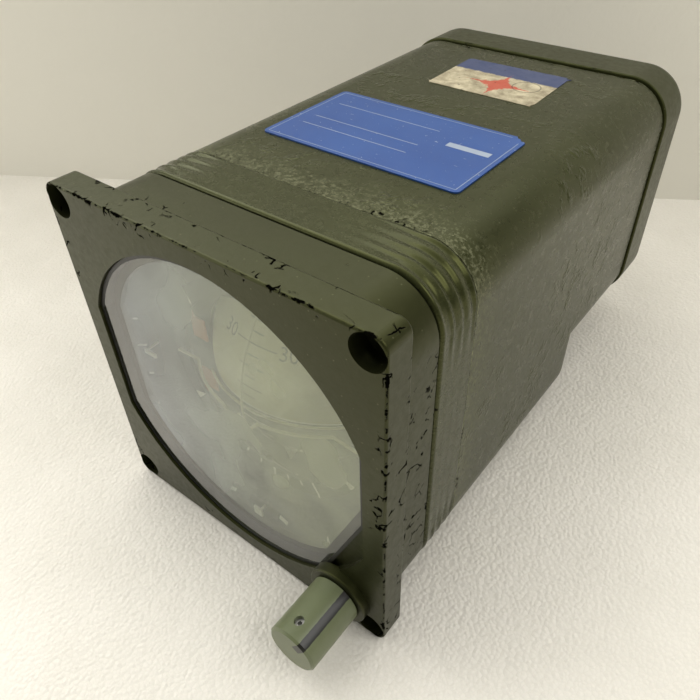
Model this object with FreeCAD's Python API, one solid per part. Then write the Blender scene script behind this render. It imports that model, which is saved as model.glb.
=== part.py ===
"""Attitude indicator: a sealed, panel-mounted sphere instrument, built from separate pieces.

Frame: the panel plane is the back of the front flange, at Y = 0, and the middle of the four panel
screws is the origin. -Y points at the pilot, +Z is up and X is to the pilot's right.
All lengths are in millimetres and all angles are in degrees.
"""
import FreeCAD, Part
import os
from math import acos, atan2, cos, degrees, hypot, pi, radians, sin, sqrt, tan

V = FreeCAD.Vector
X, Y, Z = V(1, 0, 0), V(0, 1, 0), V(0, 0, 1)

# ---------------------------------------------------------------- driving dimensions
# Front flange and its panel screws: the width follows the panel, and the body follows the width
FLANGE_WIDTH = 127.0
FLANGE_EXTRA_HEIGHT = 6.4
FLANGE_THICK = 10.0
FLANGE_CORNER = 4.0
FLANGE_EDGE_ROUND = 0.8
SCREW_EDGE = 5.6
SCREW_HOLE_R = 2.6
SCREW_POCKET_R = 5.4
SCREW_POCKET_DEPTH = 6.5

# Outer body section: a rounded square, a little higher above the centre than below it
FLANGE_OVERHANG = 3.1
BODY_RISE = 2.6
BELLY_RELIEF = 0.2
BELLY_STEP = 22.8
BODY_CORNER = 17.0
BODY_WALL = 1.8

# Lengths along Y
NECK_END = 17.0
NECK_WALL = 3.2
BAND_LENGTH = 19.5
BELLY_BEYOND_MID_PLATE = 34.0
CASE_BEYOND_REAR_PLATE = 32.0
CASE_FLANGE_THICK = 4.0
SEAM_WIDTH = 1.4
SEAM_DEPTH = 1.4
CAP_DEPTH = 23.6
BELLY_ROUND = 12.0
CAP_ROUND = 6.0
CAP_LIP_ROUND = 0.8
CAP_OVERSIZE = 1.0
CAP_WALL = 3.0
REAR_OPENING_INSET = 6.0
REAR_OPENING_CORNER = 26.0

# Rear cap screws
CAP_SCREW_INSET = 11.9
CAP_SCREW_SHIFT = 0.4
CAP_SCREW_R = 1.65
CAP_SCREW_HEAD_R = 3.3
CAP_SCREW_HEAD = 2.6
CAP_SCREW_SLOT = 0.9
CAP_SCREW_BOSS_R = 4.2
COUNTERBORE_R = 3.6
COUNTERBORE_DEPTH = 3.0
CLOSE_FIT = 0.05
LOOSE_FIT = 0.25

# Seal band
BAND_GAP = 1.1
BAND_GAP_DEPTH = 1.4
RIDGE_LENGTHS = (9.2, 5.4, 3.8)
RIDGE_ROUND = 1.6
RIDGE_RISE = 0.4
BAND_INNER_INSET = 2.4

# Window: its recess follows the flange, and the glass follows the recess
WINDOW_EDGE_ABOVE = 3.5
WINDOW_EDGE_BESIDE = 8.0
WINDOW_RIM = 1.4
LIP_DEPTH = 1.3
GLASS_THICK = 4.0
GLASS_CUT_DEPTH = 5.9
GLASS_CUT_ANGLE = -23.7
SEAL_WIDTH = 1.2
SEAL_PROUD = 0.2
LEDGE_WIDTH = 3.0
LEDGE_THICK = 2.0
CORNER_FLOOR = 2.3

# Trim knob
KNOB_FROM_SIDE = 17.4
KNOB_FROM_BOTTOM = 15.7
KNOB_R = 9.05
KNOB_LENGTH = 22.4
KNOB_CHAMFER = 0.8
KNOB_GAP = 0.4
KNOB_END_WALL = 4.0
KNOB_BOSS_R = 11.5
KNOB_BOSS_HEIGHT = 3.0
KNOB_BOSS_ROUND = 0.6
KNOB_SHAFT_R = 3.15
KNOB_SHAFT_BEYOND_BUSH = 8.0
SET_SCREW_R = 1.7
SET_SCREW_ANGLE = 95.0
SET_SCREW_INSET = 5.9
SET_SCREW_SUNK = 1.6
SET_SCREW_SOCKET_R = 0.75
BUSH_R = 4.75
BUSH_COLLAR_R = 5.3
BUSH_COLLAR = 2.6
POT_LENGTH = 12.0

# Sphere and what follows its surface
SPHERE_ROOM = 16.4
SPHERE_WALL = 1.6
SPHERE_BEHIND_PANEL = 2.0
SPHERE_RING_WIDTH = 6.0
SPHERE_RING_THICK = 1.4
HUB_R = 9.0
HUB_FLANGE_R = 11.0
HUB_FLANGE_THICK = 2.4
HUB_BOSS_R = 5.0
PITCH_BAR_GAP = 1.8
BANK_BAR_GAP = 3.6
SYMBOL_GAP = 5.6
SYMBOL_R_ROD = 0.55
SYMBOL_DIP = 4.5
SYMBOL_DIP_X = 4.0
SYMBOL_WING_START = 8.0
SYMBOL_WING_INSET = 13.0
SYMBOL_FOOT_ON_MASK = 3.0
BAR_R = 0.4
ELBOW = 1.12

# Dished dial mask
MASK_MARGIN = 0.8
MASK_MARGIN_BELOW = 0.4
MASK_OUTER_Y = -2.2
MASK_STEP_Y = 8.0
MASK_OVERLAP = 6.5
MASK_THICK = 1.2
MASK_POST_R = 2.0
MASK_POST_INSET = 1.4457
MASK_POST_START = 0.9
SLOT_MARGIN = 3.4
GLIDE_SLOT_HALF_WIDTH = 1.4
NEEDLE_SLOT_HALF = 7.5
NEEDLE_SLOT_HALF_WIDTH = 1.3

# Frame plates and posts
PLATE_THICK = 2.5
PLATE_HOLE_MARGIN = 2.0
PLATE_HOLE_R = 9.0
MID_PLATE_BEHIND_YOKE = 4.0
REAR_PLATE_BEHIND_MID = 46.0
FRAME_MARGIN = 0.4
FRONT_PLATE_FIT = 0.1
POST_R = 3.2
POST_FROM_SIDE = 11.4
POST_FROM_TOP = 13.0
REAR_POST_FROM_BOTTOM = 10.4
NOTCH_MARGIN = 1.7

# Gimbal
RING_CLEARANCE = 0.73
RING_RIM = 6.0
RING_Y = 17.2
RING_THICK = 1.2
POINTER_HALF = 3.2
POINTER_LENGTH = 6.8
POINTER_THICK = 0.6
YOKE_GAP = 6.5
YOKE_ARM = 3.6
YOKE_TRIM = 0.9
YOKE_BEHIND_SPHERE = 6.0
YOKE_BASE_THICK = 4.0
YOKE_BOSS_R = 9.0
YOKE_HALF_HEIGHT = 7.0
YOKE_CORNER = 14.0
YOKE_HOLE_R = 3.4
YOKE_HOLES_FROM_PIVOT = (-18.0, 18.0, 32.0)
ROLL_SHAFT_R = 5.0
ROLL_SHAFT_BORE_R = 2.5
ROLL_SHAFT_BEYOND_PLATE = 10.0
PITCH_SHAFT_R = 2.5
PITCH_SHAFT_BEYOND_YOKE = 1.1
PITCH_NUT_R = 4.0
PITCH_NUT_THICK = 1.0
BEARING_R = 8.0
BEARING_WIDTH = 5.0
BEARING_HOUSING_R = 11.0
RUNNING_CLEARANCE = 0.05

# Gears: module and teeth
ROLL_MODULE = 0.9
ROLL_GEAR_TEETH = 64
ROLL_PINION_TEETH = 14
ROLL_GEAR_BEHIND_PLATE = 6.0
ROLL_GEAR_THICK = 3.0
ROLL_GEAR_HUB_R = 8.5
ROLL_GEAR_HUB = 4.0
LIGHTENING_R = 5.0
LIGHTENING_AT = 18.0
PITCH_MODULES_PER_SPHERE_R = 55
PITCH_GEAR_TEETH = 44
PITCH_PINION_TEETH = 14
PITCH_GEAR_SHARE = 1.8
PITCH_GEAR_THICK = 2.4
PRESSURE_ANGLE = 20.0
BACKLASH = 0.14

# Motors, slip rings and synchro
ROLL_MOTOR_R = 13.0
ROLL_MOTOR_BOSS_R = 5.0
ROLL_MOTOR_SHAFT_R = 1.5
ROLL_MOTOR_BEHIND_GEAR = 7.0
PITCH_MOTOR_R = 9.0
PITCH_MOTOR_CAP_R = 6.0
PITCH_MOTOR_CAP = 3.0
PITCH_MOTOR_SHAFT_R = 1.0
PITCH_MOTOR_FROM_POLE = 20.0
PITCH_MOTOR_BEHIND_GEAR = 2.5
CLAMP_R = 5.0
CLAMP_LENGTH = 9.0
SLIP_RING_COUNT = 8
SLIP_RING_PITCH = 3.2
SLIP_RING_LAND = 0.8
SLIP_RING_R = 8.5
SLIP_RING_GROOVE_R = 7.4
SLIP_RINGS_BEHIND_GEAR = 9.0
BRUSH_WIRE_R = 0.35
BRUSH_WIRE_Z = 3.2
BRUSH_BLOCK_THICK = 9.0
BRUSH_BLOCK_HALF = 9.0
BRUSH_BLOCK_ROOM = 6.5
SYNCHRO_R = 14.0
SYNCHRO_LENGTH = 28.0

# Pivoted arms and their meter movements
ARM_Y = 13.0
ARM_SWING_ANGLE = 22.0
GLIDE_SWING_ANGLE = 14.0
PIVOT_ROOM = 1.9
PIVOT_R = 0.8
PIVOT_COVER = 1.2
HUB_HALF = 0.7
ARM_HUB_R = 2.0
METER_GAP = 0.3
METER_R = 11.0
TURN_METER_R = 9.0
STRAP_HALF = 5.0
GLIDE_BEYOND_SPHERE = 6.0
GLIDE_ROD_R = 0.45
GLIDE_TIP_Y = -0.6
GLIDE_INDEX_LENGTH = 5.8
GLIDE_INDEX_HALF = 0.9
PITCH_BAR_PAST_MIDDLE_ANGLE = 30.0
BANK_BAR_PAST_MIDDLE_ANGLE = 26.0

# Slip indicator and turn needle
SLIP_ARC_EXTRA = 12.0
SLIP_BALL_R = 2.1
SLIP_TUBE_R = 3.0
SLIP_TUBE_WALL = 0.6
SLIP_Y = 0.6
SLIP_BELOW_SPHERE = 2.0
SLIP_HALF_ANGLE = 10.5
SLIP_PLUG_ANGLE = 1.2
NEEDLE_PIVOT_Y = 30.0
NEEDLE_R = 0.5
NEEDLE_TIP_Y = -3.3
NEEDLE_TIP_THICK = 0.8
NEEDLE_TIP_HALF = 2.0

# Warning flags
FLAG_REACH = 8.9
FLAG_PIVOT_ANGLE = 40.18
FLAG_Z = 12.0
FLAG_Y = 10.2
FLAG_THICK = 0.6
FLAG_HALF = 3.4
FLAG_LENGTH = 9.0
FLAG_ROOM = 1.9
FLAG_ARM_HALF = 1.2
FLAG_HUB_R = 1.8
FLAG_SHAFT_R = 0.75
FLAG_METER_R = 5.6
FLAG_METER_LENGTH = 12.0

# Amplifier boards
BOARD_FROM_SIDE = 7.4
BOARD_THICK = 1.6
BOARD_FROM_TOP = 23.0
BOARD_FROM_BOTTOM = 17.4
CAN_R = 3.6
CAN_HEIGHT = 5.0
COIL_R = 6.0
COIL_HEIGHT = 9.0
CAN_ROWS_BEHIND_PLATE = (13.0, 27.0, 39.0)
CAN_ROWS_ABOVE_EDGE = (10.0, 28.0, 46.0)

# Rear connector and filling plug
CONNECTOR_Z = 14.0
CONNECTOR_R = 15.0
CONNECTOR_BORE_R = 13.2
CONNECTOR_LENGTH = 16.0
CONNECTOR_FLANGE = 36.0
CONNECTOR_FLANGE_THICK = 3.0
CONNECTOR_FLANGE_CORNER = 3.0
CONNECTOR_SPIGOT = 6.0
CONNECTOR_SCREW_INSET = 4.2
CONNECTOR_SCREW_R = 1.6
INSERT_PROUD = 4.0
INSERT_DEPTH = 5.0
PIN_R = 0.8
PIN_LENGTH = 6.0
PIN_RING_COUNT = 2
PIN_RING_STEP = 4.2
PLUG_R = 4.0
PLUG_HEAD_R = 6.2
PLUG_HEAD = 2.6
PLUG_FROM_SIDE = 24.4
PLUG_FROM_TOP = 23.0
PLUG_SLOT = 1.2

# ---------------------------------------------------------------- sizes that follow
FLANGE_HEIGHT = FLANGE_WIDTH + FLANGE_EXTRA_HEIGHT
FLANGE_FRONT = -FLANGE_THICK
SCREW_SPACING_X = FLANGE_WIDTH - 2 * SCREW_EDGE
SCREW_SPACING_Z = FLANGE_HEIGHT - 2 * SCREW_EDGE
BODY_HALF_WIDTH = FLANGE_WIDTH / 2 - FLANGE_OVERHANG
BODY_TOP = BODY_HALF_WIDTH + BODY_RISE
BELLY_BOTTOM = BELLY_RELIEF - BODY_HALF_WIDTH
REAR_BOTTOM = BELLY_BOTTOM + BELLY_STEP

WINDOW_R = FLANGE_WIDTH / 2 - WINDOW_EDGE_ABOVE
WINDOW_HALF = FLANGE_WIDTH / 2 - WINDOW_EDGE_BESIDE
GLASS_R = WINDOW_R - WINDOW_RIM
GLASS_HALF = WINDOW_HALF - WINDOW_RIM
GLASS_CUT = GLASS_R - GLASS_CUT_DEPTH
GLASS_FRONT = FLANGE_FRONT + LIP_DEPTH
GLASS_BACK = GLASS_FRONT + GLASS_THICK
LEDGE_BACK = GLASS_BACK + LEDGE_THICK
KNOB_X = FLANGE_WIDTH / 2 - KNOB_FROM_SIDE
KNOB_Z = KNOB_FROM_BOTTOM - FLANGE_HEIGHT / 2
KNOB_BOSS_FRONT = FLANGE_FRONT - KNOB_BOSS_HEIGHT
KNOB_BACK = KNOB_BOSS_FRONT - KNOB_GAP
KNOB_FRONT = KNOB_BACK - KNOB_LENGTH
BUSH_END = LEDGE_BACK + BUSH_COLLAR

SPHERE_R = BODY_HALF_WIDTH - SPHERE_ROOM
SPHERE_Y = SPHERE_R + SPHERE_BEHIND_PANEL
SPHERE_INSIDE_R = SPHERE_R - SPHERE_WALL
HUB_EDGE = sqrt(SPHERE_R ** 2 - HUB_R ** 2)
HUB_INNER_EDGE = sqrt(SPHERE_INSIDE_R ** 2 - HUB_FLANGE_R ** 2) - CLOSE_FIT
PITCH_BAR_R = SPHERE_R + PITCH_BAR_GAP
BANK_BAR_R = SPHERE_R + BANK_BAR_GAP
SYMBOL_R = SPHERE_R + SYMBOL_GAP
MASK_HALF = BODY_HALF_WIDTH - NECK_WALL - MASK_MARGIN
MASK_OUTER_R = -BELLY_BOTTOM - NECK_WALL - MASK_MARGIN_BELOW
MASK_STEP_R = SPHERE_R
MASK_OPENING_R = SPHERE_R - MASK_OVERLAP
MASK_POST_AT = (MASK_OUTER_R - MASK_POST_INSET) * sqrt(0.5)

RING_END = RING_Y + RING_THICK
RING_INNER_R = sqrt(SPHERE_R ** 2 - (SPHERE_Y - RING_END) ** 2) + RING_CLEARANCE
RING_OUTER_R = SPHERE_R + RING_RIM
YOKE_HALF = SPHERE_R + YOKE_GAP
YOKE_INNER_HALF = YOKE_HALF - YOKE_ARM
YOKE_BASE_Y = SPHERE_Y + SPHERE_R + YOKE_BEHIND_SPHERE
YOKE_BASE_END = YOKE_BASE_Y + YOKE_BASE_THICK
PITCH_SHAFT_HALF = YOKE_HALF + PITCH_SHAFT_BEYOND_YOKE

BAND_END = NECK_END + BAND_LENGTH
FRONT_PLATE_END = NECK_END + PLATE_THICK
FRONT_PLATE_HOLE_R = RING_OUTER_R + PLATE_HOLE_MARGIN
MID_PLATE_Y = YOKE_BASE_END + MID_PLATE_BEHIND_YOKE
MID_PLATE_END = MID_PLATE_Y + PLATE_THICK
REAR_PLATE_Y = MID_PLATE_Y + REAR_PLATE_BEHIND_MID
REAR_PLATE_END = REAR_PLATE_Y + PLATE_THICK
POST_X = BODY_HALF_WIDTH - POST_FROM_SIDE
POST_Z = BODY_TOP - POST_FROM_TOP
REAR_POST_LOW_Z = REAR_BOTTOM + REAR_POST_FROM_BOTTOM
PLATE_HOLE_AT = (BEARING_HOUSING_R + BODY_HALF_WIDTH) / 2
BELLY_END = MID_PLATE_Y + BELLY_BEYOND_MID_PLATE
CASE_END = REAR_PLATE_Y + CASE_BEYOND_REAR_PLATE
CAP_FRONT = CASE_END + SEAM_WIDTH
CAP_END = CAP_FRONT + CAP_DEPTH
CONNECTOR_MOUTH = CAP_END + CONNECTOR_FLANGE_THICK + CONNECTOR_LENGTH
PLUG_X = PLUG_FROM_SIDE - BODY_HALF_WIDTH
PLUG_Z = BODY_TOP - PLUG_FROM_TOP

PITCH_MODULE = SPHERE_R / PITCH_MODULES_PER_SPHERE_R
PITCH_GEAR_X = SPHERE_R / PITCH_GEAR_SHARE
PITCH_CENTRES = PITCH_MODULE * (PITCH_GEAR_TEETH + PITCH_PINION_TEETH) / 2
PITCH_MOTOR_START = PITCH_MOTOR_FROM_POLE - SPHERE_R
PITCH_MOTOR_END = PITCH_GEAR_X - PITCH_MOTOR_BEHIND_GEAR
PITCH_MOTOR_Y = SPHERE_Y + PITCH_CENTRES
ROLL_CENTRES = ROLL_MODULE * (ROLL_GEAR_TEETH + ROLL_PINION_TEETH) / 2
ROLL_GEAR_Y = MID_PLATE_Y + ROLL_GEAR_BEHIND_PLATE
ROLL_GEAR_END = ROLL_GEAR_Y + ROLL_GEAR_THICK
ROLL_MOTOR_FRONT = ROLL_GEAR_Y + ROLL_MOTOR_BEHIND_GEAR
ROLL_SHAFT_END = REAR_PLATE_Y + ROLL_SHAFT_BEYOND_PLATE
SLIP_RINGS_START = ROLL_GEAR_Y + SLIP_RINGS_BEHIND_GEAR

PIVOT_X = PITCH_SHAFT_HALF + PIVOT_ROOM
PIVOT_Z = PIVOT_X
NEEDLE_Z = -PIVOT_X
METER_START = PIVOT_X + HUB_HALF + METER_GAP
METER_WALL_X = BODY_HALF_WIDTH - BAND_INNER_INSET - METER_GAP
METER_WALL_TOP = BODY_TOP - BAND_INNER_INSET - METER_GAP
METER_WALL_BOTTOM = -BELLY_BOTTOM - BAND_INNER_INSET - METER_GAP
NOTCH_HALF = (SPHERE_Y - NECK_END) * sin(radians(ARM_SWING_ANGLE)) + SLOT_MARGIN
GLIDE_X = SPHERE_R + GLIDE_BEYOND_SPHERE
GLIDE_SLOT_HALF = SPHERE_Y * sin(radians(GLIDE_SWING_ANGLE)) + SLOT_MARGIN
SLIP_Z = -(SPHERE_R + SLIP_BELOW_SPHERE)
SLIP_ARC_R = 2 * SPHERE_R + SLIP_ARC_EXTRA
FLAG_PIVOT_X = (RING_OUTER_R + FLAG_REACH) * cos(radians(FLAG_PIVOT_ANGLE))
FLAG_PIVOT_Z = (RING_OUTER_R + FLAG_REACH) * sin(radians(FLAG_PIVOT_ANGLE))
FLAG_DEPTH = SPHERE_Y - FLAG_Y - FLAG_THICK - FLAG_ROOM
FLAG_X = sqrt(SPHERE_R ** 2 - FLAG_DEPTH ** 2 - (FLAG_Z - FLAG_LENGTH / 2) ** 2) + FLAG_HALF
BOARD_X = BODY_HALF_WIDTH - BOARD_FROM_SIDE
BOARD_LOW = REAR_BOTTOM + BOARD_FROM_BOTTOM
BOARD_HIGH = BODY_TOP - BOARD_FROM_TOP


# ---------------------------------------------------------------- small helpers
def rod_y(radius, start, end, x=0.0, z=0.0):
    """A cylinder along Y between two stations."""
    return Part.makeCylinder(radius, end - start, V(x, start, z), Y)


def rod_x(radius, start, end, y=0.0, z=0.0):
    """A cylinder along X between two stations."""
    return Part.makeCylinder(radius, end - start, V(start, y, z), X)


def rod_z(radius, start, end, x=0.0, y=0.0):
    """A cylinder along Z between two stations."""
    return Part.makeCylinder(radius, end - start, V(x, y, start), Z)


def rod(radius, start, end):
    """A round rod between two points, with slightly larger balls that close its corners."""
    along = end - start
    body = Part.makeCylinder(radius, along.Length, start, along)
    return body.fuse([Part.makeSphere(radius * ELBOW, start), Part.makeSphere(radius * ELBOW, end)])


def ring_y(outer, inner, start, end, x=0.0, z=0.0):
    """A plain ring about an axis along Y."""
    return rod_y(outer, start, end, x, z).cut(rod_y(inner, start - 1, end + 1, x, z))


def block(x0, x1, y0, y1, z0, z1):
    """A box between two corners."""
    return Part.makeBox(x1 - x0, y1 - y0, z1 - z0, V(x0, y0, z0))


def rounded_face(half_width, low, high, corner, y):
    """A rounded rectangle in the plane Y = y."""
    left, right = -half_width, half_width
    swing = corner * (1 - sqrt(0.5))
    corners = (
        (V(right - corner, y, low), V(right - swing, y, low + swing), V(right, y, low + corner)),
        (V(right, y, high - corner), V(right - swing, y, high - swing), V(right - corner, y, high)),
        (V(left + corner, y, high), V(left + swing, y, high - swing), V(left, y, high - corner)),
        (V(left, y, low + corner), V(left + swing, y, low + swing), V(left + corner, y, low)),
    )
    edges = []
    for index, (start, middle, end) in enumerate(corners):
        edges.append(Part.Arc(start, middle, end).toShape())
        edges.append(Part.makeLine(end, corners[(index + 1) % 4][0]))
    return Part.Face(Part.Wire(edges))


def slab(half_width, low, high, corner, start, end):
    """A rounded rectangle of that section, drawn along Y."""
    return rounded_face(half_width, low, high, corner, start).extrude(V(0, end - start, 0))


def body_slab(inset, start, end, low=BELLY_BOTTOM, corner=None):
    """The outer body's section, moved inwards by inset, drawn along Y."""
    radius = BODY_CORNER - inset if corner is None else corner
    return slab(BODY_HALF_WIDTH - inset, low + inset, BODY_TOP - inset, radius, start, end)


def edges_at(shape, y):
    """The edges that lie in the plane Y = y."""
    return [e for e in shape.Edges if e.BoundBox.YLength < 1e-6 and abs(e.BoundBox.YMin - y) < 1e-6]


def turned_profile(points):
    """A solid of revolution about the Y axis, from (radius, y) corners."""
    wire = Part.makePolygon([V(r, y, 0) for r, y in points + points[:1]])
    return Part.Face(wire).revolve(V(0, 0, 0), Y, 360)


def arc_rod(radius, centre, axis, start, angle):
    """A round rod bent along an arc: its centre line starts at a point and turns about an axis."""
    tangent = axis.cross(start - centre)
    circle = Part.Face(Part.Wire(Part.makeCircle(radius, start, tangent)))
    bent = circle.revolve(centre, axis, angle)
    end = FreeCAD.Rotation(axis, angle).multVec(start - centre) + centre
    return bent.fuse([Part.makeSphere(radius * ELBOW, start), Part.makeSphere(radius * ELBOW, end)])


def spur_gear(teeth, module, thickness, bore):
    """An involute spur gear along +Z from the origin, with its first tooth on +X."""
    pitch = module * teeth / 2
    base = pitch * cos(radians(PRESSURE_ANGLE))
    tip = pitch + 0.85 * module
    root = pitch - 1.1 * module
    half_at_pitch = pi / (2 * teeth) - BACKLASH / (2 * pitch)

    def involute(r):
        roll = acos(min(1.0, base / r))
        return tan(roll) - roll

    radii = [max(base, root + 0.05 * module), pitch, tip]
    flank = [(r, half_at_pitch + involute(pitch) - involute(r)) for r in radii]
    outline = []
    for tooth in range(teeth):
        middle = 2 * pi * tooth / teeth
        outline.append((root, middle - flank[0][1]))
        outline += [(r, middle - a) for r, a in flank]
        outline += [(r, middle + a) for r, a in reversed(flank)]
        outline.append((root, middle + flank[0][1]))
    points = [V(r * cos(a), r * sin(a), 0) for r, a in outline]
    blank = Part.Face(Part.makePolygon(points + points[:1])).extrude(V(0, 0, thickness))
    return blank.cut(Part.makeCylinder(bore, thickness + 2, V(0, 0, -1)))


def place_gear(gear, direction, origin, spin):
    """Turn a gear made along +Z so that its axis lies along a direction, after a spin in degrees."""
    gear.rotate(V(0, 0, 0), Z, spin)
    turn = FreeCAD.Rotation(Z, direction)
    gear.Placement = FreeCAD.Placement(origin, turn).multiply(gear.Placement)
    return gear


# ---------------------------------------------------------------- window and bezel
def window_block(radius, half, start, end, cut=None):
    """A round disc cropped by two upright flats and, with cut, by a slanting flat at lower right."""
    disc = rod_y(radius, start, end).common(block(-half, half, start, end, -radius, radius))
    if cut is None:
        return disc
    beyond = block(cut, cut + radius, start - 1, end + 1, -2 * radius, 2 * radius)
    beyond.rotate(V(0, 0, 0), Y, -GLASS_CUT_ANGLE)
    return disc.cut(beyond)


def glass_shape(grow, start, end):
    """The window glass outline, grown or shrunk, between two stations."""
    return window_block(GLASS_R + grow, GLASS_HALF + grow, start, end, GLASS_CUT + grow)


def panel_screw_places():
    """The four panel screw positions as (x, z)."""
    half_x, half_z = SCREW_SPACING_X / 2, SCREW_SPACING_Z / 2
    return [(sx * half_x, sz * half_z) for sx in (-1, 1) for sz in (-1, 1)]


def make_bezel():
    """Cast front: square flange, neck, knob boss, window recess and deep screw pockets."""
    half_height = FLANGE_HEIGHT / 2
    flange = slab(FLANGE_WIDTH / 2, -half_height, half_height, FLANGE_CORNER, FLANGE_FRONT, 0)
    flange = flange.makeFillet(FLANGE_EDGE_ROUND, edges_at(flange, FLANGE_FRONT) + edges_at(flange, 0))
    neck = body_slab(0, -1, NECK_END)
    body = flange.fuse(neck)
    body = body.cut(body_slab(NECK_WALL, LEDGE_BACK, NECK_END + 1))
    body = body.cut(window_block(WINDOW_R, WINDOW_HALF, FLANGE_FRONT - 1, GLASS_FRONT))
    body = body.cut(window_block(WINDOW_R, WINDOW_HALF, GLASS_FRONT - 0.1, FLANGE_FRONT + CORNER_FLOOR))
    body = body.cut(glass_shape(SEAL_WIDTH, GLASS_FRONT - 0.1, GLASS_BACK))
    body = body.cut(glass_shape(-LEDGE_WIDTH, GLASS_BACK - 1, LEDGE_BACK + 1))
    boss = rod_y(KNOB_BOSS_R, KNOB_BOSS_FRONT, GLASS_FRONT - SEAL_PROUD - 0.1, KNOB_X, KNOB_Z)
    boss = boss.makeFillet(KNOB_BOSS_ROUND, edges_at(boss, KNOB_BOSS_FRONT))
    body = body.fuse(boss)
    body = body.cut(rod_y(BUSH_R, KNOB_BOSS_FRONT - 1, LEDGE_BACK + 1, KNOB_X, KNOB_Z))
    for x, z in panel_screw_places():
        body = body.cut(rod_y(SCREW_HOLE_R, FLANGE_FRONT - 1, 1, x, z))
        body = body.cut(rod_y(SCREW_POCKET_R, FLANGE_FRONT - 1, FLANGE_FRONT + SCREW_POCKET_DEPTH, x, z))
    return body


def make_window_glass():
    """Flat glass with two upright flats and a slanting flat beside the knob."""
    return glass_shape(0, GLASS_FRONT, GLASS_BACK)


def make_glass_seal():
    """Black sealing compound that fills the gap around the glass and stands a little proud."""
    outer = glass_shape(SEAL_WIDTH, GLASS_FRONT - SEAL_PROUD, GLASS_BACK)
    return outer.cut(glass_shape(0, GLASS_FRONT - 1, GLASS_BACK + 1))


# ---------------------------------------------------------------- band, case and cap
def make_seal_band():
    """Corrugated sleeve behind the neck: a recessed gap, then rounded ridges of falling width."""
    band = body_slab(BAND_GAP_DEPTH, NECK_END, BAND_END)
    start = NECK_END + BAND_GAP
    for length in RIDGE_LENGTHS:
        ridge = body_slab(-RIDGE_RISE, start, start + length)
        ridge = ridge.makeFillet(RIDGE_ROUND, edges_at(ridge, start) + edges_at(ridge, start + length))
        band = band.fuse(ridge)
        start += length
    return band.cut(body_slab(BAND_INNER_INSET, NECK_END - 1, BAND_END + 1))


def case_form(inset, start, end, belly_end, rounding):
    """The case's form: a full-depth front, then a smooth step up to the shallower rear."""
    rear = body_slab(inset, start, end, REAR_BOTTOM)
    belly = body_slab(inset, start, belly_end)
    belly = belly.makeFillet(rounding, edges_at(belly, belly_end))
    return rear.fuse(belly)


def cap_screw_places():
    """The rear cap's four screws as (x, z)."""
    half = BODY_HALF_WIDTH - CAP_SCREW_INSET
    inset = CAP_SCREW_INSET - CAP_SCREW_SHIFT
    return [(sx * half, z) for sx in (-1, 1) for z in (REAR_BOTTOM + inset, BODY_TOP - inset)]


def rear_opening(start, end):
    """The opening in the case's rear flange, with corners large enough to leave room for screws."""
    return body_slab(REAR_OPENING_INSET, start, end, REAR_BOTTOM, corner=REAR_OPENING_CORNER)


def make_main_case():
    """Drawn case with a stepped belly, open in front and flanged inwards at the rear."""
    case = case_form(0, BAND_END, CASE_END, BELLY_END, BELLY_ROUND)
    flange_front = CASE_END - CASE_FLANGE_THICK
    hollow = case_form(BODY_WALL, BAND_END - 1, flange_front, BELLY_END - BODY_WALL, BELLY_ROUND - BODY_WALL)
    case = case.cut(hollow)
    case = case.cut(rear_opening(flange_front - 2, CASE_END + 1))
    for x, z in cap_screw_places():
        case = case.cut(rod_y(CAP_SCREW_R + CLOSE_FIT, flange_front - 1, CASE_END + 1, x, z))
    return case


def make_rear_gasket():
    """Black gasket set back in the seam between the case and the cap."""
    gasket = body_slab(SEAM_DEPTH, CASE_END, CAP_FRONT, REAR_BOTTOM)
    gasket = gasket.cut(rear_opening(CASE_END - 1, CAP_FRONT + 1))
    for x, z in cap_screw_places():
        gasket = gasket.cut(rod_y(CAP_SCREW_R + LOOSE_FIT, CASE_END - 1, CAP_FRONT + 1, x, z))
    return gasket


def make_rear_cap():
    """Deep rear cap, slightly larger than the case, with a rounded rear edge and screw bosses."""
    cap = body_slab(-CAP_OVERSIZE, CAP_FRONT, CAP_END, REAR_BOTTOM)
    cap = cap.makeFillet(CAP_ROUND, edges_at(cap, CAP_END))
    cap = cap.makeFillet(CAP_LIP_ROUND, edges_at(cap, CAP_FRONT))
    hollow = body_slab(CAP_WALL, CAP_FRONT - 1, CAP_END - CAP_WALL, REAR_BOTTOM)
    for x, z in cap_screw_places():
        hollow = hollow.cut(rod_y(CAP_SCREW_BOSS_R, CAP_FRONT - 2, CAP_END, x, z))
    cap = cap.cut(hollow)
    for x, z in cap_screw_places():
        cap = cap.cut(rod_y(CAP_SCREW_R + LOOSE_FIT, CAP_FRONT - 1, CAP_END + 1, x, z))
        cap = cap.cut(rod_y(COUNTERBORE_R, CAP_END - COUNTERBORE_DEPTH, CAP_END + 1, x, z))
    behind_wall = CAP_END - 2 * CAP_WALL
    cap = cap.cut(rod_y(CONNECTOR_R - 1, behind_wall, CAP_END + 1, 0, CONNECTOR_Z))
    return cap.cut(rod_y(PLUG_R, behind_wall, CAP_END + 1, PLUG_X, PLUG_Z))


def make_cap_screws():
    """Four fillister screws in the rear cap's counterbores, reaching into the case's flange."""
    screws = []
    seat = CAP_END - COUNTERBORE_DEPTH
    top = seat + CAP_SCREW_HEAD
    for x, z in cap_screw_places():
        head = rod_y(CAP_SCREW_HEAD_R, seat, top, x, z)
        head = head.makeFillet(0.5, edges_at(head, top))
        screw = head.fuse(rod_y(CAP_SCREW_R, CASE_END - CASE_FLANGE_THICK, seat + 0.1, x, z))
        half = CAP_SCREW_SLOT / 2
        slot = block(x - COUNTERBORE_R, x + COUNTERBORE_R, top - 1, top + 1, z - half, z + half)
        screws.append(screw.cut(slot))
    return Part.makeCompound(screws)


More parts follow.
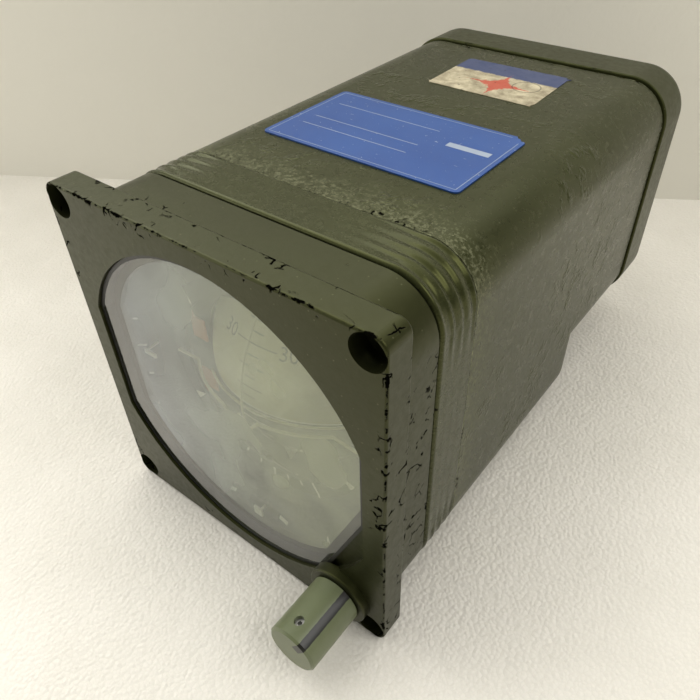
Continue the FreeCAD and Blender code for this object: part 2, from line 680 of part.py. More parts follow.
# ---------------------------------------------------------------- rear connector and plug
def make_connector_shell():
    """Square-flanged round receptacle shell."""
    half = CONNECTOR_FLANGE / 2
    back = CAP_END + CONNECTOR_FLANGE_THICK
    flange = slab(half, CONNECTOR_Z - half, CONNECTOR_Z + half, CONNECTOR_FLANGE_CORNER, CAP_END, back)
    spigot_start = CAP_END - CONNECTOR_SPIGOT
    shell = flange.fuse(rod_y(CONNECTOR_R - 1, spigot_start, CAP_END + 1, 0, CONNECTOR_Z))
    barrel = rod_y(CONNECTOR_R, CAP_END + 1, CONNECTOR_MOUTH, 0, CONNECTOR_Z)
    shell = shell.fuse(barrel.makeFillet(0.5, edges_at(barrel, CONNECTOR_MOUTH)))
    shell = shell.cut(rod_y(CONNECTOR_BORE_R, spigot_start - 1, CONNECTOR_MOUTH + 1, 0, CONNECTOR_Z))
    reach = half - CONNECTOR_SCREW_INSET
    for x in (-reach, reach):
        for z in (CONNECTOR_Z - reach, CONNECTOR_Z + reach):
            shell = shell.cut(rod_y(CONNECTOR_SCREW_R, CAP_END - 1, back + 1, x, z))
    return shell


def make_connector_insert():
    """Hard insulator with one middle pin and rings of six and twelve pins."""
    face = CAP_END + CONNECTOR_FLANGE_THICK + INSERT_PROUD
    insert = rod_y(CONNECTOR_BORE_R, CAP_END - INSERT_DEPTH, face, 0, CONNECTOR_Z)
    pins = []
    for ring in range(PIN_RING_COUNT + 1):
        count = max(1, 6 * ring)
        radius = ring * PIN_RING_STEP
        for index in range(count):
            angle = 2 * pi * index / count
            x, z = radius * cos(angle), CONNECTOR_Z + radius * sin(angle)
            pins.append(rod_y(PIN_R, face - 1, face + PIN_LENGTH, x, z))
    return insert.fuse(pins)


def make_purge_plug():
    """Threaded plug that closes the gas filling hole."""
    top = CAP_END + PLUG_HEAD
    plug = rod_y(PLUG_R - CLOSE_FIT, CAP_END - CAP_WALL, CAP_END + 1, PLUG_X, PLUG_Z)
    plug = plug.fuse(rod_y(PLUG_HEAD_R, CAP_END, top, PLUG_X, PLUG_Z))
    plug = plug.makeFillet(0.5, edges_at(plug, top))
    reach, half = PLUG_HEAD_R + 1, PLUG_SLOT / 2
    return plug.cut(block(PLUG_X - reach, PLUG_X + reach, top - 1, top + 1, PLUG_Z - half, PLUG_Z + half))


# ---------------------------------------------------------------- trim knob
def make_knob_bushing():
    """Panel bushing in the knob boss, with a collar behind the bezel."""
    sleeve = rod_y(BUSH_R, KNOB_BOSS_FRONT + 0.2, LEDGE_BACK + 0.5, KNOB_X, KNOB_Z)
    collar = rod_y(BUSH_COLLAR_R, LEDGE_BACK, BUSH_END, KNOB_X, KNOB_Z)
    bore = KNOB_SHAFT_R + RUNNING_CLEARANCE
    return sleeve.fuse(collar).cut(rod_y(bore, KNOB_FRONT, BUSH_END + 1, KNOB_X, KNOB_Z))


def make_trim_potentiometer():
    """Small potentiometer behind the bushing, turned by the knob shaft."""
    end = BUSH_END + POT_LENGTH
    can = rod_y(BUSH_COLLAR_R, BUSH_END, end, KNOB_X, KNOB_Z)
    can = can.makeFillet(0.6, edges_at(can, end))
    bore_end = BUSH_END + KNOB_SHAFT_BEYOND_BUSH + 1
    return can.cut(rod_y(KNOB_SHAFT_R + RUNNING_CLEARANCE, BUSH_END - 1, bore_end, KNOB_X, KNOB_Z))


def make_knob_shaft():
    """Steel shaft from the knob through the bushing to the potentiometer."""
    return rod_y(KNOB_SHAFT_R, KNOB_FRONT + KNOB_END_WALL, BUSH_END + KNOB_SHAFT_BEYOND_BUSH, KNOB_X, KNOB_Z)


def set_screw_rod(radius, start, end):
    """A cylinder from the knob's axis outwards along the set screw's direction."""
    angle = radians(SET_SCREW_ANGLE)
    outward = V(cos(angle), 0, sin(angle))
    origin = V(KNOB_X, KNOB_FRONT + SET_SCREW_INSET, KNOB_Z) + outward * start
    return Part.makeCylinder(radius, end - start, origin, outward)


def make_trim_knob():
    """Plain turned knob with a chamfered end, a blind bore and a set screw hole."""
    knob = rod_y(KNOB_R, KNOB_FRONT, KNOB_BACK, KNOB_X, KNOB_Z)
    knob = knob.makeChamfer(KNOB_CHAMFER, edges_at(knob, KNOB_FRONT))
    knob = knob.cut(rod_y(KNOB_SHAFT_R, KNOB_FRONT + KNOB_END_WALL, KNOB_BACK + 1, KNOB_X, KNOB_Z))
    return knob.cut(set_screw_rod(SET_SCREW_R, 0, KNOB_R + 1))


def make_knob_set_screw():
    """Headless set screw, bearing on the shaft and sunk below the knob's surface."""
    outer_end = KNOB_R - SET_SCREW_SUNK
    screw = set_screw_rod(SET_SCREW_R - CLOSE_FIT, KNOB_SHAFT_R + CLOSE_FIT, outer_end)
    return screw.cut(set_screw_rod(SET_SCREW_SOCKET_R, outer_end - 1.6, KNOB_R))


# ---------------------------------------------------------------- dial mask, symbol, slip tube
def make_dial_mask():
    """Dished mask: a cone from the window down to a flat ring around the sphere, on four posts."""
    front = [(MASK_OUTER_R, MASK_OUTER_Y), (MASK_STEP_R, MASK_STEP_Y), (MASK_OPENING_R, MASK_STEP_Y)]
    back = [(r, y + MASK_THICK) for r, y in reversed(front)]
    mask = turned_profile(front + back)
    mask = mask.common(block(-MASK_HALF, MASK_HALF, MASK_OUTER_Y, NECK_END, -MASK_OUTER_R, MASK_OUTER_R))
    posts = []
    for sx in (-1, 1):
        for sz in (-1, 1):
            posts.append(rod_y(MASK_POST_R, MASK_POST_START, NECK_END, sx * MASK_POST_AT, sz * MASK_POST_AT))
    mask = mask.fuse(posts)
    left, right = -GLIDE_X - GLIDE_SLOT_HALF_WIDTH, -GLIDE_X + GLIDE_SLOT_HALF_WIDTH
    mask = mask.cut(block(left, right, MASK_OUTER_Y - 1, NECK_END, -GLIDE_SLOT_HALF, GLIDE_SLOT_HALF))
    low, high = NEEDLE_Z - NEEDLE_SLOT_HALF_WIDTH, NEEDLE_Z + NEEDLE_SLOT_HALF_WIDTH
    return mask.cut(block(-NEEDLE_SLOT_HALF, NEEDLE_SLOT_HALF, MASK_OUTER_Y - 1, MASK_STEP_Y, low, high))


def make_aircraft_symbol():
    """Fixed miniature aircraft: bowed wings, a W at the middle and feet on the mask."""
    centre = V(0, SPHERE_Y, 0)
    tip_x = SPHERE_R - SYMBOL_WING_INSET
    tip_y = SPHERE_Y - sqrt(SYMBOL_R ** 2 - tip_x ** 2)
    foot_x = MASK_OPENING_R + SYMBOL_FOOT_ON_MASK
    span = degrees(atan2(tip_x, SPHERE_Y - tip_y))
    inner = degrees(atan2(SYMBOL_WING_START, SYMBOL_R))
    dip_y = SPHERE_Y - sqrt(SYMBOL_R ** 2 - SYMBOL_DIP_X ** 2)
    pieces = []
    for side in (-1, 1):
        start = FreeCAD.Rotation(Z, side * inner).multVec(V(0, -SYMBOL_R, 0)) + centre
        pieces.append(arc_rod(SYMBOL_R_ROD, centre, Z, start, side * (span - inner)))
        tip = V(side * tip_x, tip_y, 0)
        knee = V(side * foot_x, MASK_STEP_Y - 1.2, 0)
        pieces.append(rod(SYMBOL_R_ROD, tip, knee))
        pieces.append(rod(SYMBOL_R_ROD, knee, V(side * foot_x, MASK_STEP_Y - 0.63, 0)))
        dip = V(side * SYMBOL_DIP_X, dip_y, -SYMBOL_DIP)
        pieces.append(rod(SYMBOL_R_ROD, start, dip))
        pieces.append(rod(SYMBOL_R_ROD, dip, V(0, SPHERE_Y - SYMBOL_R, 0)))
    symbol = pieces[0].fuse(pieces[1:])
    return symbol.removeSplitter()


def slip_arc(radius, half_angle):
    """A bent round rod about the slip arc's centre, symmetric about X = 0."""
    centre = V(0, SLIP_Y, SLIP_Z + SLIP_ARC_R)
    start = FreeCAD.Rotation(Y, half_angle).multVec(V(0, 0, -SLIP_ARC_R)) + centre
    circle = Part.Face(Part.Wire(Part.makeCircle(radius, start, Y.cross(start - centre))))
    return circle.revolve(centre, Y, -2 * half_angle)


def make_slip_tube():
    """Curved glass tube closed at both ends by solid plugs."""
    outside = slip_arc(SLIP_TUBE_R, SLIP_HALF_ANGLE)
    return outside.cut(slip_arc(SLIP_TUBE_R - SLIP_TUBE_WALL, SLIP_HALF_ANGLE - SLIP_PLUG_ANGLE))


def make_slip_ball():
    """Black ball that rolls in the curved tube."""
    return Part.makeSphere(SLIP_BALL_R, V(0, SLIP_Y, SLIP_Z))


# ---------------------------------------------------------------- frame
def frame_plate(start, low):
    """A plate that fills the inside of the case with a small margin."""
    return body_slab(BODY_WALL + FRAME_MARGIN, start, start + PLATE_THICK, low)


def frame_post_places():
    """The four long posts as (x, z)."""
    return [(sx * POST_X, sz * POST_Z) for sx in (-1, 1) for sz in (-1, 1)]


def make_front_plate():
    """Ring plate seated on the back of the neck, notched for the four pointer arms."""
    plate = body_slab(BAND_INNER_INSET + FRONT_PLATE_FIT, NECK_END, FRONT_PLATE_END)
    start, end = NECK_END - 1, FRONT_PLATE_END + 1
    reach = PIVOT_X + NOTCH_MARGIN
    plate = plate.cut(rod_y(FRONT_PLATE_HOLE_R, start, end))
    plate = plate.cut(block(-reach, reach, start, end, -NOTCH_HALF, NOTCH_HALF))
    plate = plate.cut(block(-NOTCH_HALF, NOTCH_HALF, start, end, NEEDLE_Z - NOTCH_MARGIN, reach))
    for z in (FLAG_PIVOT_Z, -FLAG_PIVOT_Z):
        plate = plate.cut(rod_y(FLAG_SHAFT_R + RUNNING_CLEARANCE, start, end, -FLAG_PIVOT_X, z))
    return plate


def make_frame_posts():
    """Four long posts from the front plate to the mid plate."""
    places = frame_post_places()
    return Part.makeCompound([rod_y(POST_R, FRONT_PLATE_END, MID_PLATE_Y, x, z) for x, z in places])


def rear_post_places():
    """The four short posts as (x, z)."""
    return [(sx * POST_X, z) for sx in (-1, 1) for z in (REAR_POST_LOW_Z, POST_Z)]


def make_mid_plate():
    """Plate behind the gimbal that carries the front roll bearing."""
    plate = frame_plate(MID_PLATE_Y, BELLY_BOTTOM)
    plate = plate.fuse(rod_y(BEARING_HOUSING_R, MID_PLATE_Y, MID_PLATE_Y + BEARING_WIDTH))
    plate = plate.cut(rod_y(BEARING_R, MID_PLATE_Y - 1, MID_PLATE_Y + BEARING_WIDTH + 1))
    for angle in range(30, 360, 60):
        x, z = PLATE_HOLE_AT * cos(radians(angle)), PLATE_HOLE_AT * sin(radians(angle))
        plate = plate.cut(rod_y(PLATE_HOLE_R, MID_PLATE_Y - 1, MID_PLATE_END + 1, x, z))
    return plate


def make_rear_posts():
    """Four short posts from the mid plate to the rear plate."""
    places = rear_post_places()
    return Part.makeCompound([rod_y(POST_R, MID_PLATE_END, REAR_PLATE_Y, x, z) for x, z in places])


def make_rear_plate():
    """Plate in the shallower rear that carries the rear roll bearing, the motor and the synchro."""
    plate = frame_plate(REAR_PLATE_Y, REAR_BOTTOM)
    plate = plate.fuse(rod_y(BEARING_HOUSING_R, REAR_PLATE_Y, REAR_PLATE_Y + BEARING_WIDTH))
    plate = plate.cut(rod_y(BEARING_R, REAR_PLATE_Y - 1, REAR_PLATE_Y + BEARING_WIDTH + 1))
    for x in (-PLATE_HOLE_AT, PLATE_HOLE_AT):
        plate = plate.cut(rod_y(PLATE_HOLE_R, REAR_PLATE_Y - 1, REAR_PLATE_END + 1, x, CONNECTOR_Z))
    return plate


def make_roll_bearings():
    """Two ball bearings as closed rings with a shield step on each face."""
    rings = []
    for start in (MID_PLATE_Y, REAR_PLATE_Y):
        end = start + BEARING_WIDTH
        ring = ring_y(BEARING_R, ROLL_SHAFT_R + RUNNING_CLEARANCE, start, end)
        groove = ring_y(BEARING_R - 0.8, ROLL_SHAFT_R + 0.9, end - 0.4, end + 1)
        rings.append(ring.cut(groove))
    return Part.makeCompound(rings)


# ---------------------------------------------------------------- roll drive
def make_roll_motor():
    """Servo motor with its gearhead boss, screwed to the front of the rear plate."""
    front = ROLL_MOTOR_FRONT
    body = rod_y(ROLL_MOTOR_R, front, REAR_PLATE_Y, 0, ROLL_CENTRES)
    body = body.makeFillet(1.5, edges_at(body, front))
    body = body.fuse(rod_y(ROLL_MOTOR_BOSS_R, front - 2.5, front + 1, 0, ROLL_CENTRES))
    return body.cut(rod_y(ROLL_MOTOR_SHAFT_R + RUNNING_CLEARANCE, front - 4, front + 6, 0, ROLL_CENTRES))


def make_roll_pinion():
    """Small pinion on the roll motor's shaft."""
    pinion = spur_gear(ROLL_PINION_TEETH, ROLL_MODULE, ROLL_GEAR_THICK + 0.6, 0.01)
    spin = 90 + 180 / ROLL_PINION_TEETH
    start = ROLL_GEAR_Y - 0.3
    pinion = place_gear(pinion, Y, V(0, start, ROLL_CENTRES), spin)
    return pinion.fuse(rod_y(ROLL_MOTOR_SHAFT_R, start, ROLL_MOTOR_FRONT + 5, 0, ROLL_CENTRES))


def make_roll_gear():
    """Large gear on the roll shaft, with a hub and round lightening holes."""
    gear = spur_gear(ROLL_GEAR_TEETH, ROLL_MODULE, ROLL_GEAR_THICK, ROLL_SHAFT_R)
    gear = place_gear(gear, Y, V(0, ROLL_GEAR_Y, 0), 90)
    for angle in range(0, 360, 60):
        x, z = LIGHTENING_AT * cos(radians(angle)), LIGHTENING_AT * sin(radians(angle))
        gear = gear.cut(rod_y(LIGHTENING_R, ROLL_GEAR_Y - 1, ROLL_GEAR_END + 1, x, z))
    hub_end = ROLL_GEAR_END + ROLL_GEAR_HUB
    return gear.fuse(ring_y(ROLL_GEAR_HUB_R, ROLL_SHAFT_R, ROLL_GEAR_END - 0.5, hub_end))


def make_roll_shaft():
    """Hollow roll shaft, pressed into the yoke's base; the sphere's wires run through it."""
    return ring_y(ROLL_SHAFT_R, ROLL_SHAFT_BORE_R, YOKE_BASE_Y, ROLL_SHAFT_END)


def make_slip_rings():
    """Drum of eight slip rings on the roll shaft."""
    groove, ring = SLIP_RING_GROOVE_R, SLIP_RING_R
    corners = [(ROLL_SHAFT_R, SLIP_RINGS_START), (groove, SLIP_RINGS_START)]
    for index in range(SLIP_RING_COUNT):
        low = SLIP_RINGS_START + index * SLIP_RING_PITCH + SLIP_RING_LAND
        high = low + SLIP_RING_PITCH - SLIP_RING_LAND - 0.2
        corners += [(groove, low), (ring, low), (ring, high), (groove, high)]
    end = SLIP_RINGS_START + SLIP_RING_COUNT * SLIP_RING_PITCH + 0.6
    corners += [(groove, end), (ROLL_SHAFT_R, end)]
    return turned_profile(corners)


def make_brush_block():
    """Insulating block with one pair of brush wires for each slip ring."""
    inner = -SLIP_RING_R - BRUSH_BLOCK_ROOM
    outer = inner - BRUSH_BLOCK_THICK
    body = block(outer, inner, SLIP_RINGS_START, REAR_PLATE_Y, -BRUSH_BLOCK_HALF, BRUSH_BLOCK_HALF)
    wires = []
    for index in range(SLIP_RING_COUNT):
        y = SLIP_RINGS_START + (index + 0.6) * SLIP_RING_PITCH
        for z in (-BRUSH_WIRE_Z, BRUSH_WIRE_Z):
            wires.append(rod_x(BRUSH_WIRE_R, inner - 1, 0.4 - SLIP_RING_R, y, z))
    return body.fuse(wires)


def make_roll_synchro():
    """Synchro transmitter behind the rear plate, around the end of the roll shaft."""
    end = REAR_PLATE_END + SYNCHRO_LENGTH
    can = rod_y(SYNCHRO_R, REAR_PLATE_END, end)
    can = can.makeFillet(1.2, edges_at(can, end))
    can = can.cut(rod_y(BEARING_HOUSING_R, REAR_PLATE_END - 1, REAR_PLATE_Y + BEARING_WIDTH))
    return can.cut(rod_y(ROLL_SHAFT_R + LOOSE_FIT, REAR_PLATE_END, ROLL_SHAFT_END + 1))


# ---------------------------------------------------------------- gimbal
def make_roll_ring():
    """Flat ring around the sphere, carried by the yoke's arms, that turns with bank."""
    return ring_y(RING_OUTER_R, RING_INNER_R, RING_Y, RING_END)


def make_bank_pointer():
    """Pointer lying on the roll ring at its lowest point, with its tip towards the bank scale."""
    y = RING_Y - POINTER_THICK
    base = -RING_INNER_R - 0.2
    left, right, tip = V(-POINTER_HALF, y, base), V(POINTER_HALF, y, base), V(0, y, base - POINTER_LENGTH)
    return Part.Face(Part.makePolygon([left, right, tip, left])).extrude(V(0, POINTER_THICK, 0))


def make_gimbal_yoke():
    """U-shaped yoke: two arms beside the sphere and a base on the roll shaft."""
    inner, front = YOKE_INNER_HALF, RING_END
    outside = block(-YOKE_HALF, YOKE_HALF, front, YOKE_BASE_END, -YOKE_HALF_HEIGHT, YOKE_HALF_HEIGHT)
    corners = [e for e in edges_at(outside, YOKE_BASE_END) if e.BoundBox.XLength < 1e-6]
    outside = outside.makeFillet(YOKE_CORNER, corners)
    height = YOKE_HALF_HEIGHT + 1
    inside = block(-inner, inner, front - 5, YOKE_BASE_Y, -height, height)
    corners = [e for e in edges_at(inside, YOKE_BASE_Y) if e.BoundBox.XLength < 1e-6]
    inside = inside.makeFillet(YOKE_CORNER - YOKE_ARM, corners)
    yoke = outside.cut(inside)
    yoke = yoke.common(rod_y(RING_OUTER_R + YOKE_TRIM, front, YOKE_BASE_END))
    yoke = yoke.fuse(rod_y(YOKE_BOSS_R, YOKE_BASE_Y, YOKE_BASE_END + 2))
    yoke = yoke.cut(rod_y(ROLL_SHAFT_R, YOKE_BASE_Y - 1, YOKE_BASE_END + 3))
    yoke = yoke.cut(rod_x(PITCH_SHAFT_R, -YOKE_HALF - 2, YOKE_HALF + 2, SPHERE_Y))
    for offset in YOKE_HOLES_FROM_PIVOT:
        yoke = yoke.cut(rod_x(YOKE_HOLE_R, -YOKE_HALF - 2, YOKE_HALF + 2, SPHERE_Y + offset))
    return yoke


def make_pitch_shaft():
    """Fixed cross shaft with a nut outside each yoke arm and the motor's clamp in the middle."""
    shaft = rod_x(PITCH_SHAFT_R, -PITCH_SHAFT_HALF, PITCH_SHAFT_HALF, SPHERE_Y)
    start = PITCH_MOTOR_START
    end = start + CLAMP_LENGTH
    clamp = rod_x(CLAMP_R, start, end, SPHERE_Y)
    web = block(start, end, SPHERE_Y, PITCH_MOTOR_Y, -PITCH_SHAFT_R, PITCH_SHAFT_R)
    shaft = shaft.fuse([clamp, web.cut(rod_x(PITCH_MOTOR_R, start - 1, end + 1, PITCH_MOTOR_Y))])
    for side in (-1, 1):
        seat = V(side * (YOKE_HALF + CLOSE_FIT), SPHERE_Y, 0)
        shaft = shaft.fuse(Part.makeCylinder(PITCH_NUT_R, PITCH_NUT_THICK, seat, X * side))
    return shaft


def make_pitch_motor():
    """Servo motor inside the sphere, clamped beside the cross shaft."""
    start, end = PITCH_MOTOR_START, PITCH_MOTOR_END
    body = rod_x(PITCH_MOTOR_R, start, end, PITCH_MOTOR_Y)
    body = body.fuse(rod_x(PITCH_MOTOR_CAP_R, start - PITCH_MOTOR_CAP, start + 1, PITCH_MOTOR_Y))
    return body.cut(rod_x(PITCH_MOTOR_SHAFT_R + RUNNING_CLEARANCE, end - 6, end + 1, PITCH_MOTOR_Y))


def make_pitch_pinion():
    """Small pinion on the pitch motor's shaft."""
    pinion = spur_gear(PITCH_PINION_TEETH, PITCH_MODULE, PITCH_GEAR_THICK, 0.01)
    pinion = place_gear(pinion, X, V(PITCH_GEAR_X, PITCH_MOTOR_Y, 0), 0)
    return pinion.fuse(rod_x(PITCH_MOTOR_SHAFT_R, PITCH_MOTOR_END - 4.5, PITCH_GEAR_X + 1, PITCH_MOTOR_Y))


# ---------------------------------------------------------------- sphere
def sphere_shell():
    """The whole hollow sphere with a round hole at each pole for the hubs."""
    centre = V(0, SPHERE_Y, 0)
    shell = Part.makeSphere(SPHERE_R, centre).cut(Part.makeSphere(SPHERE_INSIDE_R, centre))
    return shell.cut(rod_x(HUB_R, -SPHERE_R - 1, SPHERE_R + 1, SPHERE_Y))


def make_sphere_half(upper):
    """One half of the sphere: the light sky half or the dark ground half."""
    size = SPHERE_R + 2
    low, high = (0, size) if upper else (-size, 0)
    return sphere_shell().common(block(-size, size, SPHERE_Y - size, SPHERE_Y + size, low, high))


def make_sphere_ring():
    """Inner ring that joins the two halves along the horizon."""
    half = SPHERE_RING_WIDTH / 2
    outer = sqrt(SPHERE_INSIDE_R ** 2 - half ** 2) - 0.02
    ring = rod_z(outer, -half, half, 0, SPHERE_Y)
    ring = ring.cut(rod_z(outer - SPHERE_RING_THICK, -half - 1, half + 1, 0, SPHERE_Y))
    return ring.cut(rod_x(HUB_FLANGE_R + 0.3, -SPHERE_R, SPHERE_R, SPHERE_Y))


def hub_blank(side):
    """A pole hub on one side: disc in the shell, inner flange and a boss towards the yoke arm."""
    disc = (HUB_R, HUB_INNER_EDGE - 1, HUB_EDGE)
    flange = (HUB_FLANGE_R, HUB_INNER_EDGE - HUB_FLANGE_THICK, HUB_INNER_EDGE)
    boss = (HUB_BOSS_R, HUB_EDGE - 1, YOKE_INNER_HALF - 0.3)
    spans = (disc, flange, boss)
    parts = []
    for radius, start, end in spans:
        low, high = sorted((side * start, side * end))
        parts.append(rod_x(radius, low, high, SPHERE_Y))
    return parts[0].fuse(parts[1:])


def make_sphere_hub():
    """Left pole hub, running on the cross shaft."""
    bore = rod_x(PITCH_SHAFT_R + RUNNING_CLEARANCE, -YOKE_HALF, 0, SPHERE_Y)
    return hub_blank(-1).cut(bore)


def make_pitch_gear():
    """Right pole hub with a long sleeve that carries the sphere's gear."""
    gear = spur_gear(PITCH_GEAR_TEETH, PITCH_MODULE, PITCH_GEAR_THICK, PITCH_SHAFT_R)
    gear = place_gear(gear, X, V(PITCH_GEAR_X, SPHERE_Y, 0), 0)
    sleeve = rod_x(HUB_BOSS_R, PITCH_GEAR_X, HUB_INNER_EDGE - 1, SPHERE_Y)
    whole = hub_blank(1).fuse([sleeve, gear])
    return whole.cut(rod_x(PITCH_SHAFT_R + RUNNING_CLEARANCE, PITCH_GEAR_X - 2, YOKE_HALF, SPHERE_Y))


# ---------------------------------------------------------------- steering bars, pointers and flags
def bar_profile(radius):
    """Distance from the middle at which a bar's arc meets the station where its arm leaves."""
    return sqrt(radius ** 2 - (SPHERE_Y - ARM_Y) ** 2)


def make_pitch_bar():
    """Horizontal steering bar: bowed around the sphere, with an arm back to a pivot at the right."""
    centre = V(0, SPHERE_Y, 0)
    end_x = bar_profile(PITCH_BAR_R)
    end_angle = degrees(atan2(end_x, SPHERE_Y - ARM_Y))
    start = V(end_x, ARM_Y, 0)
    arc = arc_rod(BAR_R, centre, Z, start, -(end_angle + PITCH_BAR_PAST_MIDDLE_ANGLE))
    outward = rod(BAR_R, start, V(PIVOT_X, ARM_Y, 0))
    back = rod(BAR_R, V(PIVOT_X, ARM_Y, 0), V(PIVOT_X, SPHERE_Y, 0))
    hub = rod_x(ARM_HUB_R, PIVOT_X - HUB_HALF, PIVOT_X + HUB_HALF, SPHERE_Y)
    pivot = rod_x(PIVOT_R, PIVOT_X, METER_WALL_X - PIVOT_COVER, SPHERE_Y)
    return arc.fuse([outward, back, hub, pivot])


def make_bank_bar():
    """Vertical steering bar: bowed around the sphere, with an arm back to a pivot at the top."""
    centre = V(0, SPHERE_Y, 0)
    end_z = bar_profile(BANK_BAR_R)
    end_angle = degrees(atan2(end_z, SPHERE_Y - ARM_Y))
    start = V(0, ARM_Y, end_z)
    arc = arc_rod(BAR_R, centre, X, start, end_angle + BANK_BAR_PAST_MIDDLE_ANGLE)
    upward = rod(BAR_R, start, V(0, ARM_Y, PIVOT_Z))
    back = rod(BAR_R, V(0, ARM_Y, PIVOT_Z), V(0, SPHERE_Y, PIVOT_Z))
    hub = rod_z(ARM_HUB_R, PIVOT_Z - HUB_HALF, PIVOT_Z + HUB_HALF, 0, SPHERE_Y)
    pivot = rod_z(PIVOT_R, PIVOT_Z, METER_WALL_TOP - PIVOT_COVER, 0, SPHERE_Y)
    return arc.fuse([upward, back, hub, pivot])


def make_glide_pointer():
    """Glide pointer: a small index in a slot of the mask, on an arm that pivots at the left."""
    tip = V(-GLIDE_X, GLIDE_TIP_Y, 0)
    shoulder = V(-GLIDE_X, ARM_Y + 1, 0)
    elbow = V(-PIVOT_X, ARM_Y + 1, 0)
    arm = rod(GLIDE_ROD_R, tip, shoulder)
    arm = arm.fuse([rod(GLIDE_ROD_R, shoulder, elbow), rod(GLIDE_ROD_R, elbow, V(-PIVOT_X, SPHERE_Y, 0))])
    left, front, half = -GLIDE_X - 0.3, GLIDE_TIP_Y - 0.7, GLIDE_INDEX_HALF
    index = block(left, left + GLIDE_INDEX_LENGTH, front, front + 0.8, -half, half)
    hub = rod_x(ARM_HUB_R, -PIVOT_X - HUB_HALF, -PIVOT_X + HUB_HALF, SPHERE_Y)
    pivot = rod_x(PIVOT_R, PIVOT_COVER - METER_WALL_X, -PIVOT_X, SPHERE_Y)
    return arm.fuse([index, hub, pivot])


def make_turn_needle():
    """Turn needle: a white block before the mask, on an arm that pivots below the sphere."""
    tip_back, half = NEEDLE_TIP_Y + NEEDLE_TIP_THICK, NEEDLE_TIP_HALF
    arm = rod(NEEDLE_R, V(0, tip_back + 0.1, NEEDLE_Z), V(0, NEEDLE_PIVOT_Y, NEEDLE_Z))
    low, high = NEEDLE_Z + 0.5 - half, NEEDLE_Z + 0.5 + half
    tip = block(-half, half, NEEDLE_TIP_Y, tip_back, low, high)
    hub = rod_z(ARM_HUB_R, NEEDLE_Z - HUB_HALF, NEEDLE_Z + HUB_HALF, 0, NEEDLE_PIVOT_Y)
    pivot = rod_z(PIVOT_R, PIVOT_COVER - METER_WALL_BOTTOM, NEEDLE_Z, 0, NEEDLE_PIVOT_Y)
    return arm.fuse([tip, hub, pivot])


def make_flag(side):
    """Warning flag on a flat arm: it shows when there is no power and swings behind the mask."""
    pivot = V(-FLAG_PIVOT_X, FLAG_Y, side * FLAG_PIVOT_Z)
    patch = V(-FLAG_X, FLAG_Y, side * FLAG_Z)
    low, high = side * FLAG_Z - FLAG_LENGTH / 2, side * FLAG_Z + FLAG_LENGTH / 2
    plate = block(-FLAG_X - FLAG_HALF, -FLAG_X + FLAG_HALF, FLAG_Y, FLAG_Y + FLAG_THICK, low, high)
    along = patch - pivot
    across = V(along.z, 0, -along.x).normalize() * FLAG_ARM_HALF
    wire = Part.makePolygon([pivot + across, pivot - across, patch - across, patch + across, pivot + across])
    arm = Part.Face(wire).extrude(V(0, FLAG_THICK, 0))
    hub = rod_y(FLAG_HUB_R, FLAG_Y, FLAG_Y + 2, -FLAG_PIVOT_X, side * FLAG_PIVOT_Z)
    shaft = rod_y(FLAG_SHAFT_R, FLAG_Y + 1, FRONT_PLATE_END + 3, -FLAG_PIVOT_X, side * FLAG_PIVOT_Z)
    return plate.fuse([arm, hub, shaft])


# ---------------------------------------------------------------- meter movements
def side_meter(side):
    """Flat meter movement at one side of the sphere, on a strap from the front plate."""
    start, wall = METER_START, METER_WALL_X
    body = rod_x(METER_R, start, wall, SPHERE_Y)
    strap = block((start + wall) / 2, wall, FRONT_PLATE_END, SPHERE_Y, -STRAP_HALF, STRAP_HALF)
    bore = rod_x(PIVOT_R + RUNNING_CLEARANCE, start - 1, wall - PIVOT_COVER + 0.2, SPHERE_Y)
    meter = body.fuse(strap).cut(bore)
    return meter if side > 0 else meter.mirror(V(0, 0, 0), X)


def make_bank_bar_meter():
    """Flat meter movement above the sphere, on a strap from the front plate."""
    start, wall = METER_START, METER_WALL_TOP
    body = rod_z(METER_R, start, wall, 0, SPHERE_Y)
    strap = block(-STRAP_HALF, STRAP_HALF, FRONT_PLATE_END, SPHERE_Y, (start + wall) / 2, wall)
    bore = rod_z(PIVOT_R + RUNNING_CLEARANCE, start - 1, wall - PIVOT_COVER + 0.2, 0, SPHERE_Y)
    return body.fuse(strap).cut(bore)


def make_turn_meter():
    """Flat meter movement below the sphere, on a strap from the front plate."""
    start, wall = -METER_START, -METER_WALL_BOTTOM
    body = rod_z(TURN_METER_R, wall, start, 0, NEEDLE_PIVOT_Y)
    strap = block(-STRAP_HALF, STRAP_HALF, FRONT_PLATE_END, NEEDLE_PIVOT_Y, wall, (start + wall) / 2)
    bore = rod_z(PIVOT_R + RUNNING_CLEARANCE, wall + PIVOT_COVER - 0.2, start + 1, 0, NEEDLE_PIVOT_Y)
    return body.fuse(strap).cut(bore)


def make_flag_meter(side):
    """Small round movement behind the front plate that turns a warning flag."""
    x, z = -FLAG_PIVOT_X, side * FLAG_PIVOT_Z
    end = FRONT_PLATE_END + FLAG_METER_LENGTH
    body = rod_y(FLAG_METER_R, FRONT_PLATE_END, end, x, z)
    body = body.makeFillet(0.8, edges_at(body, end))
    bore = FLAG_SHAFT_R + RUNNING_CLEARANCE
    return body.cut(rod_y(bore, FRONT_PLATE_END - 1, FRONT_PLATE_END + 3.3, x, z))


